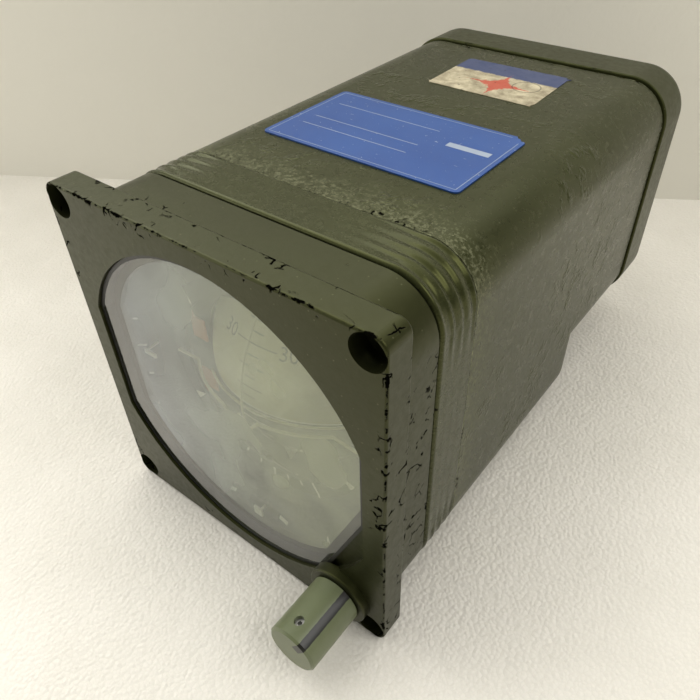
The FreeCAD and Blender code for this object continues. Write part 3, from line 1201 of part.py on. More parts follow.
# ---------------------------------------------------------------- electronics
def make_amplifier_board(side):
    """Circuit board between the mid and rear plates, with transistor cans and coils inwards."""
    face = BOARD_X
    board = block(face, face + BOARD_THICK, MID_PLATE_END, REAR_PLATE_Y, BOARD_LOW, BOARD_HIGH)
    parts = []
    for row, behind in enumerate(CAN_ROWS_BEHIND_PLATE):
        for column, above in enumerate(CAN_ROWS_ABOVE_EDGE):
            radius, height = (COIL_R, COIL_HEIGHT) if row == column == 1 else (CAN_R, CAN_HEIGHT)
            parts.append(rod_x(radius, face - height, face + 0.5, MID_PLATE_Y + behind, BOARD_LOW + above))
    board = board.fuse(parts)
    return board if side > 0 else board.mirror(V(0, 0, 0), X)


# ---------------------------------------------------------------- write every piece
def all_pieces():
    """Every node's name and solid."""
    return {
        "bezel": make_bezel(),
        "window_glass": make_window_glass(),
        "glass_seal": make_glass_seal(),
        "seal_band": make_seal_band(),
        "main_case": make_main_case(),
        "rear_gasket": make_rear_gasket(),
        "rear_cap": make_rear_cap(),
        "cap_screws": make_cap_screws(),
        "connector_shell": make_connector_shell(),
        "connector_insert": make_connector_insert(),
        "purge_plug": make_purge_plug(),
        "knob_bushing": make_knob_bushing(),
        "trim_potentiometer": make_trim_potentiometer(),
        "knob_shaft": make_knob_shaft(),
        "trim_knob": make_trim_knob(),
        "knob_set_screw": make_knob_set_screw(),
        "dial_mask": make_dial_mask(),
        "aircraft_symbol": make_aircraft_symbol(),
        "slip_tube": make_slip_tube(),
        "slip_ball": make_slip_ball(),
        "front_plate": make_front_plate(),
        "frame_posts": make_frame_posts(),
        "mid_plate": make_mid_plate(),
        "rear_posts": make_rear_posts(),
        "rear_plate": make_rear_plate(),
        "roll_bearings": make_roll_bearings(),
        "roll_motor": make_roll_motor(),
        "roll_pinion": make_roll_pinion(),
        "roll_gear": make_roll_gear(),
        "roll_shaft": make_roll_shaft(),
        "slip_rings": make_slip_rings(),
        "brush_block": make_brush_block(),
        "roll_synchro": make_roll_synchro(),
        "roll_ring": make_roll_ring(),
        "bank_pointer": make_bank_pointer(),
        "gimbal_yoke": make_gimbal_yoke(),
        "pitch_shaft": make_pitch_shaft(),
        "pitch_motor": make_pitch_motor(),
        "pitch_pinion": make_pitch_pinion(),
        "sphere_upper": make_sphere_half(True),
        "sphere_lower": make_sphere_half(False),
        "sphere_ring": make_sphere_ring(),
        "sphere_hub": make_sphere_hub(),
        "pitch_gear": make_pitch_gear(),
        "pitch_bar": make_pitch_bar(),
        "bank_bar": make_bank_bar(),
        "glide_pointer": make_glide_pointer(),
        "turn_needle": make_turn_needle(),
        "attitude_flag": make_flag(1),
        "glide_flag": make_flag(-1),
        "pitch_bar_meter": side_meter(1),
        "glide_meter": side_meter(-1),
        "bank_bar_meter": make_bank_bar_meter(),
        "turn_meter": make_turn_meter(),
        "attitude_flag_meter": make_flag_meter(1),
        "glide_flag_meter": make_flag_meter(-1),
        "amplifier_board_left": make_amplifier_board(-1),
        "amplifier_board_right": make_amplifier_board(1),
    }


def main():
    """Write one STEP file for each piece."""
    os.makedirs("parts", exist_ok=True)
    for name, shape in all_pieces().items():
        shape.exportStep("parts/" + name + ".step")
        print(name, "solids", len(shape.Solids), "volume", round(shape.Volume, 1), "valid", shape.isValid())


main()
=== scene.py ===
# %% [markdown]
# # An attitude indicator
# This is a sealed cockpit instrument that shows which way is up. A square cast bezel carries a
# hazed window, and a long drawn case with a stepped belly holds the motors and gears. The solid
# parts come from a finished CAD model, and this lesson gives them paint, glass, printing and wear.
# Loading the frame first means that every later piece can take its place from the model itself.
# %% Load the solid parts
import math
import random

import bmesh
import bpy
from mathutils import Matrix, Vector


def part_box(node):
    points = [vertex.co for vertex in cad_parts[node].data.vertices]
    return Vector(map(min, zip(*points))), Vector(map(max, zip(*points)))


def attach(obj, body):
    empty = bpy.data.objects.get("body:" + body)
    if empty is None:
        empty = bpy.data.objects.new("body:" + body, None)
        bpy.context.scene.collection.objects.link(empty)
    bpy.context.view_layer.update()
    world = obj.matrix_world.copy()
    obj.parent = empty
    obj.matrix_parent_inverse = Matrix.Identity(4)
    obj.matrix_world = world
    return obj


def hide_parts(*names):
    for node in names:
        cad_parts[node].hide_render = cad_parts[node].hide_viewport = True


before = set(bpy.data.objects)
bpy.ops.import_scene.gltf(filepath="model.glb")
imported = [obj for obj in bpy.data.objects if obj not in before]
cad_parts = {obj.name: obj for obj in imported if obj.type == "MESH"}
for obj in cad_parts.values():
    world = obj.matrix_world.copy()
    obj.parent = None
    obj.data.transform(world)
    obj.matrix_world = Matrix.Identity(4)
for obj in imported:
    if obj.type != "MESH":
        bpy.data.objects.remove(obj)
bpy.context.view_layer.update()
MM = 0.001

# %% [markdown]
# ## Looking at it
# The camera stands close to the top right corner of the bezel and looks down along the case, so
# that the front, the top and the right side all show with strong perspective. A camera is a
# position and three directions, so a matrix built from them is the plainest way to set it.
# %% The camera
EYE = Vector((124.5, -96.8, 156.8)) * MM
RIGHT = Vector((0.7930, 0.6090, -0.0153))
DOWN = Vector((0.3920, -0.5290, -0.7520))
FORWARD = Vector((-0.4663, 0.5906, -0.6586))
LENS, SENSOR, SHIFT = 34.27, 36.0, (-0.0146, 0.0052)

camera_data = bpy.data.cameras.new("camera")
camera_data.sensor_width = SENSOR
camera_data.lens = LENS
camera_data.shift_x, camera_data.shift_y = SHIFT
camera_data.clip_start = 0.005
camera_data.dof.use_dof = False
camera = bpy.data.objects.new("camera", camera_data)
bpy.context.scene.collection.objects.link(camera)
turn = Matrix((RIGHT, -DOWN, -FORWARD)).transposed().to_4x4()
camera.matrix_world = Matrix.Translation(EYE) @ turn
bpy.context.scene.camera = camera
print("camera lens:", camera_data.lens, "mm")

# %% [markdown]
# ## Helpers for materials
# Paint charts and screens give colours as sRGB hex values, but the renderer works in linear light,
# so one function turns one into the other. A material is a small graph, and another function adds
# one node of any kind with its settings and links, so that a recipe reads from top to bottom. A node
# given as a source stands for its first output in use. A pattern's scale is how many of its features
# fit in a metre, so 420 is a pattern of about 2.4 mm.
# %% Colour and node helpers


def linear(code):
    """An sRGB hex colour such as 33352A as linear red, green, blue and 1."""
    parts = [int(code[i:i + 2], 16) / 255 for i in (0, 2, 4)]
    return [c / 12.92 if c <= 0.04045 else ((c + 0.055) / 1.055) ** 2.4 for c in parts] + [1.0]


def tinted(code, share):
    """The same colour made lighter or darker in linear light."""
    return [min(1.0, c * share) for c in linear(code)[:3]] + [1.0]


def add(tree, kind, links=None, **settings):
    """Add a node. Settings are its own properties; links give its sockets a value or a source."""
    node = tree.nodes.new(kind if "Node" in kind else "ShaderNode" + kind)
    for name, value in settings.items():
        setattr(node, name, value)
    for name, value in (links or {}).items():
        if isinstance(value, bpy.types.Node):
            value = next(socket for socket in value.outputs if socket.enabled)
        if isinstance(value, bpy.types.NodeSocket):
            tree.links.new(value, node.inputs[name])
        else:
            node.inputs[name].default_value = value
    return node


def new_material(name):
    """An empty material: returns it with its tree and its place on the piece."""
    material = bpy.data.materials.new(name)
    material.use_nodes = True
    tree = material.node_tree
    tree.nodes.clear()
    return material, tree, add(tree, "TexCoord").outputs["Object"]


print("33352A in linear light:", [round(c, 4) for c in linear("33352A")[:3]])

# %% [markdown]
# ## Where an edge is
# Handling wears a painted part at its edges, so the wear has to know how far away the nearest edge
# is. The bezel's flange and the rear cap are boxes, and the distance from a point on a box's surface
# to its nearest edge is the second smallest of its distances to the faces. On the case and the band
# only the two ends count. A distance can be worked out from the place alone, which needs no paint
# map and no unwrapping.
# %% Distance to an edge


def box_edges(low, high):
    """A function that measures the distance to the nearest edge of a box with these corners."""
    def measure(tree, place):
        axes = add(tree, "SeparateXYZ", {"Vector": place}).outputs
        gaps = []
        for axis, least, most in zip("XYZ", low, high):
            above = add(tree, "Math", {0: axes[axis], 1: least}, operation="SUBTRACT")
            below = add(tree, "Math", {0: most, 1: axes[axis]}, operation="SUBTRACT")
            gaps.append(add(tree, "Math", {0: above, 1: below}, operation="MINIMUM"))
        smaller = add(tree, "Math", {0: gaps[0], 1: gaps[2]}, operation="MINIMUM")
        larger = add(tree, "Math", {0: gaps[0], 1: gaps[2]}, operation="MAXIMUM")
        middle = add(tree, "Math", {0: larger, 1: gaps[1]}, operation="MINIMUM")
        return add(tree, "Math", {0: smaller, 1: middle}, operation="MAXIMUM")
    return measure


def end_edges(front, rear):
    """A function that measures the distance to the nearer of two stations along Y."""
    def measure(tree, place):
        along = add(tree, "SeparateXYZ", {"Vector": place}).outputs["Y"]
        from_front = add(tree, "Math", {0: along, 1: front}, operation="SUBTRACT")
        from_rear = add(tree, "Math", {0: rear, 1: along}, operation="SUBTRACT")
        return add(tree, "Math", {0: from_front, 1: from_rear}, operation="MINIMUM")
    return measure


FRONT_LIP = 3.0 * MM
bezel_low, bezel_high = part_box("bezel")
case_low, case_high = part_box("main_case")
cap_low, cap_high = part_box("rear_cap")
band_low, band_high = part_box("seal_band")
flange_low = (-bezel_high.x, bezel_low.y + FRONT_LIP, -bezel_high.z)
FLANGE_EDGES = box_edges(flange_low, (bezel_high.x, 0.0, bezel_high.z))
CASE_EDGES = end_edges(case_low.y, case_high.y)
CAP_EDGES = box_edges(cap_low, cap_high)
BAND_EDGES = end_edges(band_low.y + 1.0 * MM, 1.0)
print("case ends at y in mm:", round(case_low.y / MM, 1), round(case_high.y / MM, 1))

# %% [markdown]
# ## Sprayed enamel that has been handled
# The case, the bezel, the cap and the band are metal under a dark olive enamel with a satin gloss.
# Spraying leaves a faint orange peel, casting leaves a coarser grain, and years of handling chip
# the edges and leave pale rub marks. Right at an edge the paint is chipped, and a few millimetres
# further in it has cracked. The cracks are the borders of shaken Voronoi cells, broken up by
# another noise. One recipe serves all four parts, so that they look like paint from one tin.
# %% The enamel recipe
BLACK_GAP, PALE_DUST = "0A0A07", "7C7D64"
CRACK_CELLS, SCUFF_START, SCUFF_END = 170.0, 4.0 * MM, 24.0 * MM


def enamel(name, colour, rough, peel, grain, edge, wear=0.5, cracks=0.5, rub=0.3, dust=0.3, pits=0.0,
           scuffed=0.0, scuff_from=0.0, chip=BLACK_GAP):
    """Satin enamel. peel, grain and pits are bump heights in millimetres; the rest are shares."""
    material, tree, place = new_material(name)
    broad = add(tree, "TexNoise", {"Vector": place, "Scale": 28.0, "Detail": 4.0, "Roughness": 0.6})
    fine = add(tree, "TexNoise", {"Vector": place, "Scale": 420.0, "Detail": 5.0, "Roughness": 0.65})
    flow = add(tree, "TexNoise", {"Vector": place, "Scale": 1100.0})
    ragged = add(tree, "TexNoise", {"Vector": place, "Scale": 260.0, "Detail": 6.0, "Roughness": 0.7})
    away = edge(tree, place)

    # Chips reach a ragged distance in from the edge, and cracks lie a little further in.
    reach = add(tree, "Math", {0: ragged, 1: 7.0 * wear * MM, 2: -3.25 * wear * MM},
                operation="MULTIPLY_ADD")
    inside = add(tree, "Math", {0: reach, 1: away}, operation="SUBTRACT")
    chips = add(tree, "MapRange", {"Value": inside, "From Min": -0.10 * MM, "From Max": 0.10 * MM})
    colours = add(tree, "TexNoise", {"Vector": place, "Scale": 130.0, "Detail": 4.0}).outputs["Color"]
    swirl = add(tree, "VectorMath", {0: colours, "Scale": 9.0 * MM}, operation="SCALE")
    crazed = add(tree, "VectorMath", {0: place, 1: swirl}, operation="ADD")
    cells = add(tree, "TexVoronoi", {"Vector": crazed, "Scale": CRACK_CELLS}, feature="DISTANCE_TO_EDGE")
    hairline = add(tree, "MapRange", {"Value": cells, "From Min": 0.055, "From Max": 0.030})
    gaps = add(tree, "TexNoise", {"Vector": place, "Scale": 190.0, "Roughness": 0.6})
    broken = add(tree, "MapRange", {"Value": gaps, "From Min": 0.53, "From Max": 0.57})
    inwards = add(tree, "Math", {0: broad, 1: -22.0 * MM, 2: away}, operation="MULTIPLY_ADD")
    zone_start, zone_end = (-11.5 + 5.0 * cracks) * MM, (-13.0 + 5.0 * cracks) * MM
    zone = add(tree, "MapRange", {"Value": inwards, "From Min": zone_start, "From Max": zone_end})
    lines = add(tree, "Math", {0: hairline, 1: broken}, operation="MULTIPLY")
    cracked = add(tree, "Math", {0: lines, 1: zone}, operation="MULTIPLY")
    bare = add(tree, "Math", {0: chips, 1: cracked}, operation="MAXIMUM") if cracks else chips

    # Rub marks are long thin streaks in patches, and dust is small round specks.
    stretched = add(tree, "Mapping", {"Vector": place, "Scale": (900.0, 60.0, 900.0),
                                      "Rotation": (0.3, 0.2, 0.5)})
    strands = add(tree, "TexNoise", {"Vector": stretched, "Scale": 1.0, "Roughness": 0.6})
    hairs = add(tree, "MapRange", {"Value": strands, "From Min": 0.68, "From Max": 0.78, "To Max": rub})
    patch = add(tree, "MapRange", {"Value": broad, "From Min": 0.5, "From Max": 0.62})
    rubbed = add(tree, "Math", {0: hairs, 1: patch}, operation="MULTIPLY")
    grains = add(tree, "TexVoronoi", {"Vector": place, "Scale": 330.0})
    specks = add(tree, "MapRange", {"Value": grains, "From Min": 0.10, "From Max": 0.05, "To Max": dust})
    pale = add(tree, "Math", {0: rubbed, 1: specks}, operation="MAXIMUM")
    if scuffed:
        along = add(tree, "SeparateXYZ", {"Vector": place}).outputs["Y"]
        close = add(tree, "MapRange", {"Value": along, "From Min": scuff_from + SCUFF_END,
                                       "From Max": scuff_from + SCUFF_START})
        sandy = add(tree, "TexNoise", {"Vector": place, "Scale": 800.0, "Detail": 5.0, "Roughness": 0.8})
        blotch = add(tree, "Math", {0: close, 1: 0.13, 2: sandy}, operation="MULTIPLY_ADD")
        scuffs = add(tree, "MapRange", {"Value": blotch, "From Min": 0.62, "From Max": 0.72,
                                        "To Max": scuffed})
        worn = add(tree, "Math", {0: scuffs, 1: close}, operation="MULTIPLY")
        pale = add(tree, "Math", {0: pale, 1: worn}, operation="MAXIMUM")

    # The colour drifts slowly, then dust, chips and cracks are laid over it in turn.
    drift = add(tree, "MapRange", {"Value": broad, "From Min": 0.3, "From Max": 0.7,
                                   "To Min": 0.82, "To Max": 1.25})
    shade = add(tree, "HueSaturation", {"Value": drift, "Color": linear(colour)})
    dusty = add(tree, "Mix", {"Factor": pale, "A": shade, "B": linear(PALE_DUST)}, data_type="RGBA")
    chipped = add(tree, "Mix", {"Factor": chips, "A": dusty, "B": linear(chip)}, data_type="RGBA")
    final = add(tree, "Mix", {"Factor": cracked, "A": chipped, "B": linear("080805")}, data_type="RGBA")
    gloss = add(tree, "MapRange", {"Value": fine, "From Min": 0.3, "From Max": 0.7,
                                   "To Min": rough - 0.05, "To Max": rough + 0.09})
    duller = add(tree, "Math", {0: pale, 1: 0.3, 2: gloss}, operation="MULTIPLY_ADD")

    # Orange peel and grain stand up, bare spots are sunk by the paint's thickness, and blisters rise.
    grit = add(tree, "Math", {0: fine, 1: grain * MM}, operation="MULTIPLY")
    skin = add(tree, "Math", {0: flow, 1: peel * MM, 2: grit}, operation="MULTIPLY_ADD")
    sunk = add(tree, "Math", {0: bare, 1: -0.16 * MM, 2: skin}, operation="MULTIPLY_ADD")
    lumps = add(tree, "TexNoise", {"Vector": place, "Scale": 170.0, "Detail": 3.0, "Roughness": 0.6})
    swollen = add(tree, "MapRange", {"Value": lumps, "From Min": 0.52, "From Max": 0.70})
    blisters = add(tree, "Math", {0: swollen, 1: patch}, operation="MULTIPLY")
    height = add(tree, "Math", {0: blisters, 1: pits * MM, 2: sunk}, operation="MULTIPLY_ADD")
    relief = add(tree, "Bump", {"Height": height, "Strength": 1.0, "Distance": 1.0})
    paint = add(tree, "BsdfPrincipled", {"Base Color": final, "IOR": 1.41, "Roughness": duller,
                                         "Specular Tint": (0.92, 0.96, 0.35, 1.0), "Normal": relief})

    # A black gap sends back no sheen, so it needs a shader of its own.
    gap = add(tree, "BsdfDiffuse", {"Color": linear("060604")})
    black_chips = add(tree, "Math", {0: chips, 1: float(chip == BLACK_GAP)}, operation="MULTIPLY")
    black = add(tree, "Math", {0: cracked, 1: black_chips}, operation="MAXIMUM")
    shader = add(tree, "MixShader", {0: black, 1: paint, 2: gap})
    add(tree, "OutputMaterial", {"Surface": shader})
    return material


# %% [markdown]
# The bezel is cast, so it has the coarsest grain and the most wear. The case is sheet, scuffed pale
# just behind the band, and its chips show primer where the others show a black gap.
# %% The four enamels
BEZEL_ENAMEL = enamel("bezel_cast_enamel", "202212", 0.33, 0.012, 0.045, FLANGE_EDGES, 0.62, 0.75, rub=0.3)
CASE_ENAMEL = enamel("case_sheet_enamel", "282B17", 0.28, 0.008, 0.014, CASE_EDGES, 0.35, 0.35, rub=0.55,
                     pits=0.50, scuffed=0.55, scuff_from=case_low.y, chip="84866A")
CAP_ENAMEL = enamel("cap_enamel", "282B17", 0.34, 0.006, 0.012, CAP_EDGES, 0.25, 0.1, rub=0.25, pits=0.1)
BAND_ENAMEL = enamel("band_enamel", "2B2E1A", 0.24, 0.002, 0.002, BAND_EDGES, 0.1, 0.0, rub=0.15, dust=0.1)
print("enamels:", BEZEL_ENAMEL.name, CASE_ENAMEL.name, CAP_ENAMEL.name, BAND_ENAMEL.name)

# %% [markdown]
# ## Metals, rubber and plastics
# The rear connector, the screws and the frame plates are bare metals with fine turning or milling
# marks. A metal keeps its own colour in its reflections, and the marks show as a roughness that
# changes in thin lines. Rubber and moulded plastic are dark and even, so only their grain moves.
# %% Plain finishes


def metal(name, colour, rough, marks=0.1, scale=(40.0, 900.0, 900.0)):
    """Bare metal with fine tool marks, stretched along one direction."""
    material, tree, place = new_material(name)
    cloud = add(tree, "TexNoise", {"Vector": place, "Scale": 90.0, "Detail": 4.0})
    base = add(tree, "Mix", {"Factor": cloud, "A": tinted(colour, 0.8), "B": tinted(colour, 1.15)},
               data_type="RGBA")
    stretched = add(tree, "Mapping", {"Vector": place, "Scale": scale})
    lines = add(tree, "TexNoise", {"Vector": stretched, "Scale": 2.0, "Detail": 3.0})
    gloss = add(tree, "MapRange", {"Value": lines, "From Min": 0.3, "From Max": 0.7,
                                   "To Min": rough - marks / 2, "To Max": rough + marks})
    shader = add(tree, "BsdfPrincipled", {"Base Color": base, "Metallic": 1.0, "Roughness": gloss})
    add(tree, "OutputMaterial", {"Surface": shader})
    return material


def coating(name, colour, rough, grain=0.004, scale=600.0, spread=0.12, other=None):
    """An even non-metal surface: rubber, moulded plastic or flat paint, with a fine grain."""
    material, tree, place = new_material(name)
    grit = add(tree, "TexNoise", {"Vector": place, "Scale": scale, "Detail": 4.0})
    cloud = add(tree, "TexNoise", {"Vector": place, "Scale": scale / 12, "Detail": 3.0})
    darker, lighter = tinted(colour, 1 - spread), tinted(other or colour, 1 + spread)
    base = add(tree, "Mix", {"Factor": cloud, "A": darker, "B": lighter}, data_type="RGBA")
    gloss = add(tree, "MapRange", {"Value": grit, "From Min": 0.3, "From Max": 0.7,
                                   "To Min": rough - 0.05, "To Max": rough + 0.05})
    height = add(tree, "Math", {0: grit, 1: grain * MM}, operation="MULTIPLY")
    relief = add(tree, "Bump", {"Height": height, "Strength": 1.0, "Distance": 1.0})
    shader = add(tree, "BsdfPrincipled", {"Base Color": base, "IOR": 1.5, "Roughness": gloss,
                                          "Normal": relief})
    add(tree, "OutputMaterial", {"Surface": shader})
    return material


STEEL = metal("turned_steel", "9A9A96", 0.32)
FRAME_ALUMINIUM = metal("milled_aluminium", "B4B4B0", 0.38)
DULL_PLATING = metal("dull_cadmium_plating", "8E8C78", 0.48, 0.15)
BRASS = metal("hobbed_brass", "B58E4A", 0.34)
# Black sealing compound for the window seal and the rear gasket; on the folded band the same black is
# painted shade in the gap.
SEAL_RUBBER_AND_GAP_SHADE = coating("black_sealing_compound_and_gap_shade", "0B0B0A", 0.38, 0.02, 900.0)
INSULATOR = coating("black_moulded_insulator", "15151A", 0.45)
BLACK_CAN = coating("black_oxide_can", "1B1B1C", 0.40)
DIAL_PAINT = coating("dial_flat_paint", "33363A", 0.75, 0.006, 900.0, 0.15)
MARK_PAINT = coating("dial_mark_paint", "F4F1DC", 0.65, 0.004, 900.0, 0.05)
BAR_PAINT = coating("bar_pale_paint", "D2CDA6", 0.5, 0.002, 900.0, 0.05)
FLAG_PAINT = coating("flag_orange_paint", "C0703C", 0.55, 0.002, 900.0, 0.06)
BOARD = coating("lacquered_laminate", "2F5A34", 0.42)
BALL_BLACK = coating("gloss_black_ball", "060606", 0.15)
print("plain finishes made:", 13)

# %% [markdown]
# ## The sphere's two halves
# The ball is painted in two flat paints that meet along the horizon: a light one for the sky and a
# dark one for the ground. The paint has aged a little, so a slow noise moves it towards yellow.
# Both are the same recipe with two colours each.
# %% Sky and ground paint
SKY_PAINT = coating("aged_sky_paint", "C6C8AE", 0.62, 0.003, 260.0, 0.06, other="D8CC8C")
GROUND_PAINT = coating("aged_ground_paint", "3C4040", 0.62, 0.003, 260.0, 0.1, other="454640")
print("ball paints:", SKY_PAINT.name, GROUND_PAINT.name)

# %% [markdown]
# ## Clear glass and fogged glass
# The window is a flat polished pane. Its inside has fogged over the years, so the dial shows only
# faintly through a bluish and yellowish bloom. The pane itself is a mix of see-through and mirror
# that follows the Fresnel law. The fog is a separate thin film behind it, partly see-through, whose
# density and tint drift across the window.
# %% Glass and fog


def clear_glass(name, rough):
    """Polished glass: its outer faces mirror more at a slant, and the rest of the light goes through."""
    material, tree, _ = new_material(name)
    slant = add(tree, "Fresnel", {"IOR": 1.5})
    inside = add(tree, "NewGeometry").outputs["Backfacing"]
    outside = add(tree, "Math", {0: 1.0, 1: inside}, operation="SUBTRACT")
    share = add(tree, "Math", {0: slant, 1: outside}, operation="MULTIPLY")
    both_sides = add(tree, "Math", {0: share, 1: 1.6}, operation="MULTIPLY")
    through = add(tree, "BsdfTransparent", {"Color": (0.95, 0.97, 0.95, 1)})
    mirror = add(tree, "BsdfAnisotropic", {"Color": (1, 1, 1, 1), "Roughness": rough})
    shader = add(tree, "MixShader", {0: both_sides, 1: through, 2: mirror})
    add(tree, "OutputMaterial", {"Surface": shader})
    return material


def fog_film(name, least, most):
    """A thin bloom on the inside of the window, denser in some places than in others."""
    material, tree, place = new_material(name)
    slow = add(tree, "TexNoise", {"Vector": place, "Scale": 22.0, "Detail": 3.0, "Roughness": 0.55})
    wisps = add(tree, "TexNoise", {"Vector": place, "Scale": 40.0, "Distortion": 0.2})
    both = add(tree, "Math", {0: slow, 1: wisps}, operation="ADD")
    density = add(tree, "MapRange", {"Value": both, "From Min": 0.80, "From Max": 1.20,
                                     "To Min": least, "To Max": most})
    across = add(tree, "SeparateXYZ", {"Vector": place}).outputs["X"]
    lean = add(tree, "MapRange", {"Value": across, "From Min": -45.0 * MM, "From Max": 20.0 * MM})
    hue = add(tree, "Mix", {"Factor": lean, "A": linear("BEC4D0"), "B": linear("C6C8A4")},
              data_type="RGBA")
    shader = add(tree, "BsdfPrincipled", {"Base Color": hue, "Roughness": 0.6, "Alpha": density})
    add(tree, "OutputMaterial", {"Surface": shader})
    return material


WINDOW_GLASS = clear_glass("polished_window_glass", 0.03)
TUBE_GLASS = clear_glass("drawn_tube_glass", 0.02)
FOG = fog_film("window_fog", 0.18, 0.42)
print("glass:", WINDOW_GLASS.name, TUBE_GLASS.name, "fog:", FOG.name)

# %% [markdown]
# ## Dressing the solid parts
# Each CAD node keeps its shape and gets one of the finishes above on its material slots.
# %% Finishes for the CAD nodes
FINISHES = {
    "bezel": BEZEL_ENAMEL, "seal_band": BAND_ENAMEL, "main_case": CASE_ENAMEL, "rear_cap": CAP_ENAMEL,
    "window_glass": WINDOW_GLASS, "slip_tube": TUBE_GLASS, "slip_ball": BALL_BLACK,
    "glass_seal": SEAL_RUBBER_AND_GAP_SHADE, "rear_gasket": SEAL_RUBBER_AND_GAP_SHADE, "cap_screws": STEEL,
    "connector_shell": DULL_PLATING, "connector_insert": INSULATOR, "purge_plug": STEEL,
    "knob_bushing": BRASS, "knob_shaft": STEEL, "knob_set_screw": STEEL, "trim_potentiometer": BLACK_CAN,
    "dial_mask": DIAL_PAINT, "aircraft_symbol": BAR_PAINT, "pitch_bar": BAR_PAINT, "bank_bar": BAR_PAINT,
    "glide_pointer": MARK_PAINT, "turn_needle": MARK_PAINT, "bank_pointer": MARK_PAINT,
    "attitude_flag": FLAG_PAINT, "glide_flag": FLAG_PAINT, "roll_ring": DIAL_PAINT,
    "sphere_upper": SKY_PAINT, "sphere_lower": GROUND_PAINT,
    "front_plate": FRAME_ALUMINIUM, "frame_posts": FRAME_ALUMINIUM, "mid_plate": FRAME_ALUMINIUM,
    "rear_posts": FRAME_ALUMINIUM, "rear_plate": FRAME_ALUMINIUM, "gimbal_yoke": FRAME_ALUMINIUM,
    "sphere_ring": FRAME_ALUMINIUM, "sphere_hub": FRAME_ALUMINIUM, "roll_bearings": STEEL,
    "roll_shaft": STEEL, "pitch_shaft": STEEL, "roll_gear": BRASS, "roll_pinion": BRASS,
    "pitch_gear": BRASS, "pitch_pinion": BRASS, "slip_rings": BRASS, "brush_block": INSULATOR,
    "roll_motor": BLACK_CAN, "roll_synchro": BLACK_CAN, "pitch_motor": BLACK_CAN,
    "pitch_bar_meter": BLACK_CAN, "glide_meter": BLACK_CAN, "bank_bar_meter": BLACK_CAN,
    "turn_meter": BLACK_CAN, "attitude_flag_meter": BLACK_CAN, "glide_flag_meter": BLACK_CAN,
    "amplifier_board_left": BOARD, "amplifier_board_right": BOARD,
}


def dress(node, material):
    """Give every material slot of a CAD node the same finish."""
    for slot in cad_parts[node].material_slots:
        slot.material = material


for node_name, finish in FINISHES.items():
    dress(node_name, finish)
print("dressed:", len(FINISHES), "nodes; left:", sorted(set(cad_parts) - set(FINISHES)))

# %% [markdown]
# ## The trim knob's own paint
# The knob is a lighter olive than the case. A broad black index line is painted along it and on over
# its end face, and small dark nicks are spread over it. On the real knob the line is a groove, and the
# black is drawn wide enough to take in the shade in it, so part of the line is painted shade. The line
# is found from the knob's own axis: a point belongs to it when it lies near one plane through the
# axis, and on one side of the middle.
# %% Knob paint with its index line
knob_low, knob_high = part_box("trim_knob")
KNOB_AXIS = (knob_low + knob_high) / 2
KNOB_LINE_ANGLE, KNOB_LINE_AND_SHADE_HALF, KNOB_LINE_START = math.radians(56.0), 1.80 * MM, 3.4 * MM
print("knob axis x, z in mm:", round(KNOB_AXIS.x / MM, 2), round(KNOB_AXIS.z / MM, 2))


def knob_paint(name):
    """Light olive enamel with a black index line, part of which is painted shade in its groove. The wobble
    takes about 0.25 mm off its half width.
    """
    material, tree, place = new_material(name)
    centred = add(tree, "Mapping", {"Vector": place, "Location": (-KNOB_AXIS.x, 0, -KNOB_AXIS.z)})
    axes = add(tree, "SeparateXYZ", {"Vector": centred}).outputs
    line_x, line_z = math.cos(KNOB_LINE_ANGLE), math.sin(KNOB_LINE_ANGLE)
    reach_x = add(tree, "Math", {0: axes["X"], 1: line_x}, operation="MULTIPLY")
    reach = add(tree, "Math", {0: axes["Z"], 1: line_z, 2: reach_x}, operation="MULTIPLY_ADD")
    side_x = add(tree, "Math", {0: axes["X"], 1: -line_z}, operation="MULTIPLY")
    side = add(tree, "Math", {0: axes["Z"], 1: line_x, 2: side_x}, operation="MULTIPLY_ADD")
    off_line = add(tree, "Math", {0: side}, operation="ABSOLUTE")
    wobble = add(tree, "TexNoise", {"Vector": place, "Scale": 700.0, "Detail": 3.0})
    soft = add(tree, "Math", {0: wobble, 1: 0.5 * MM, 2: off_line}, operation="MULTIPLY_ADD")
    # The line's black is wider than the groove's paint and stands for the shade in the groove: painted
    # shade.
    across = add(tree, "MapRange", {"Value": soft, "From Min": KNOB_LINE_AND_SHADE_HALF,
                                    "From Max": KNOB_LINE_AND_SHADE_HALF - 0.15 * MM})
    outwards = add(tree, "MapRange", {"Value": reach, "From Min": KNOB_LINE_START,
                                      "From Max": KNOB_LINE_START + 0.2 * MM})
    index_and_shade = add(tree, "Math", {0: across, 1: outwards}, operation="MULTIPLY")
    worn = add(tree, "TexNoise", {"Vector": place, "Scale": 500.0, "Detail": 6.0, "Roughness": 0.75})
    nicks = add(tree, "MapRange", {"Value": worn, "From Min": 0.70, "From Max": 0.73})
    dark = add(tree, "Math", {0: index_and_shade, 1: nicks}, operation="MAXIMUM")
    cloud = add(tree, "TexNoise", {"Vector": place, "Scale": 120.0, "Detail": 4.0})
    olive = add(tree, "Mix", {"Factor": cloud, "A": linear("5F6749"), "B": linear("747B5A")},
                data_type="RGBA")
    base = add(tree, "Mix", {"Factor": dark, "A": olive, "B": linear("14130E")}, data_type="RGBA")
    height = add(tree, "Math", {0: wobble, 1: 0.02 * MM}, operation="MULTIPLY")
    relief = add(tree, "Bump", {"Height": height, "Strength": 1.0, "Distance": 1.0})
    shader = add(tree, "BsdfPrincipled", {"Base Color": base, "IOR": 1.5, "Roughness": 0.36,
                                          "Normal": relief})
    add(tree, "OutputMaterial", {"Surface": shader})
    return material


KNOB_ENAMEL = knob_paint("knob_flat_enamel")
dress("trim_knob", KNOB_ENAMEL)
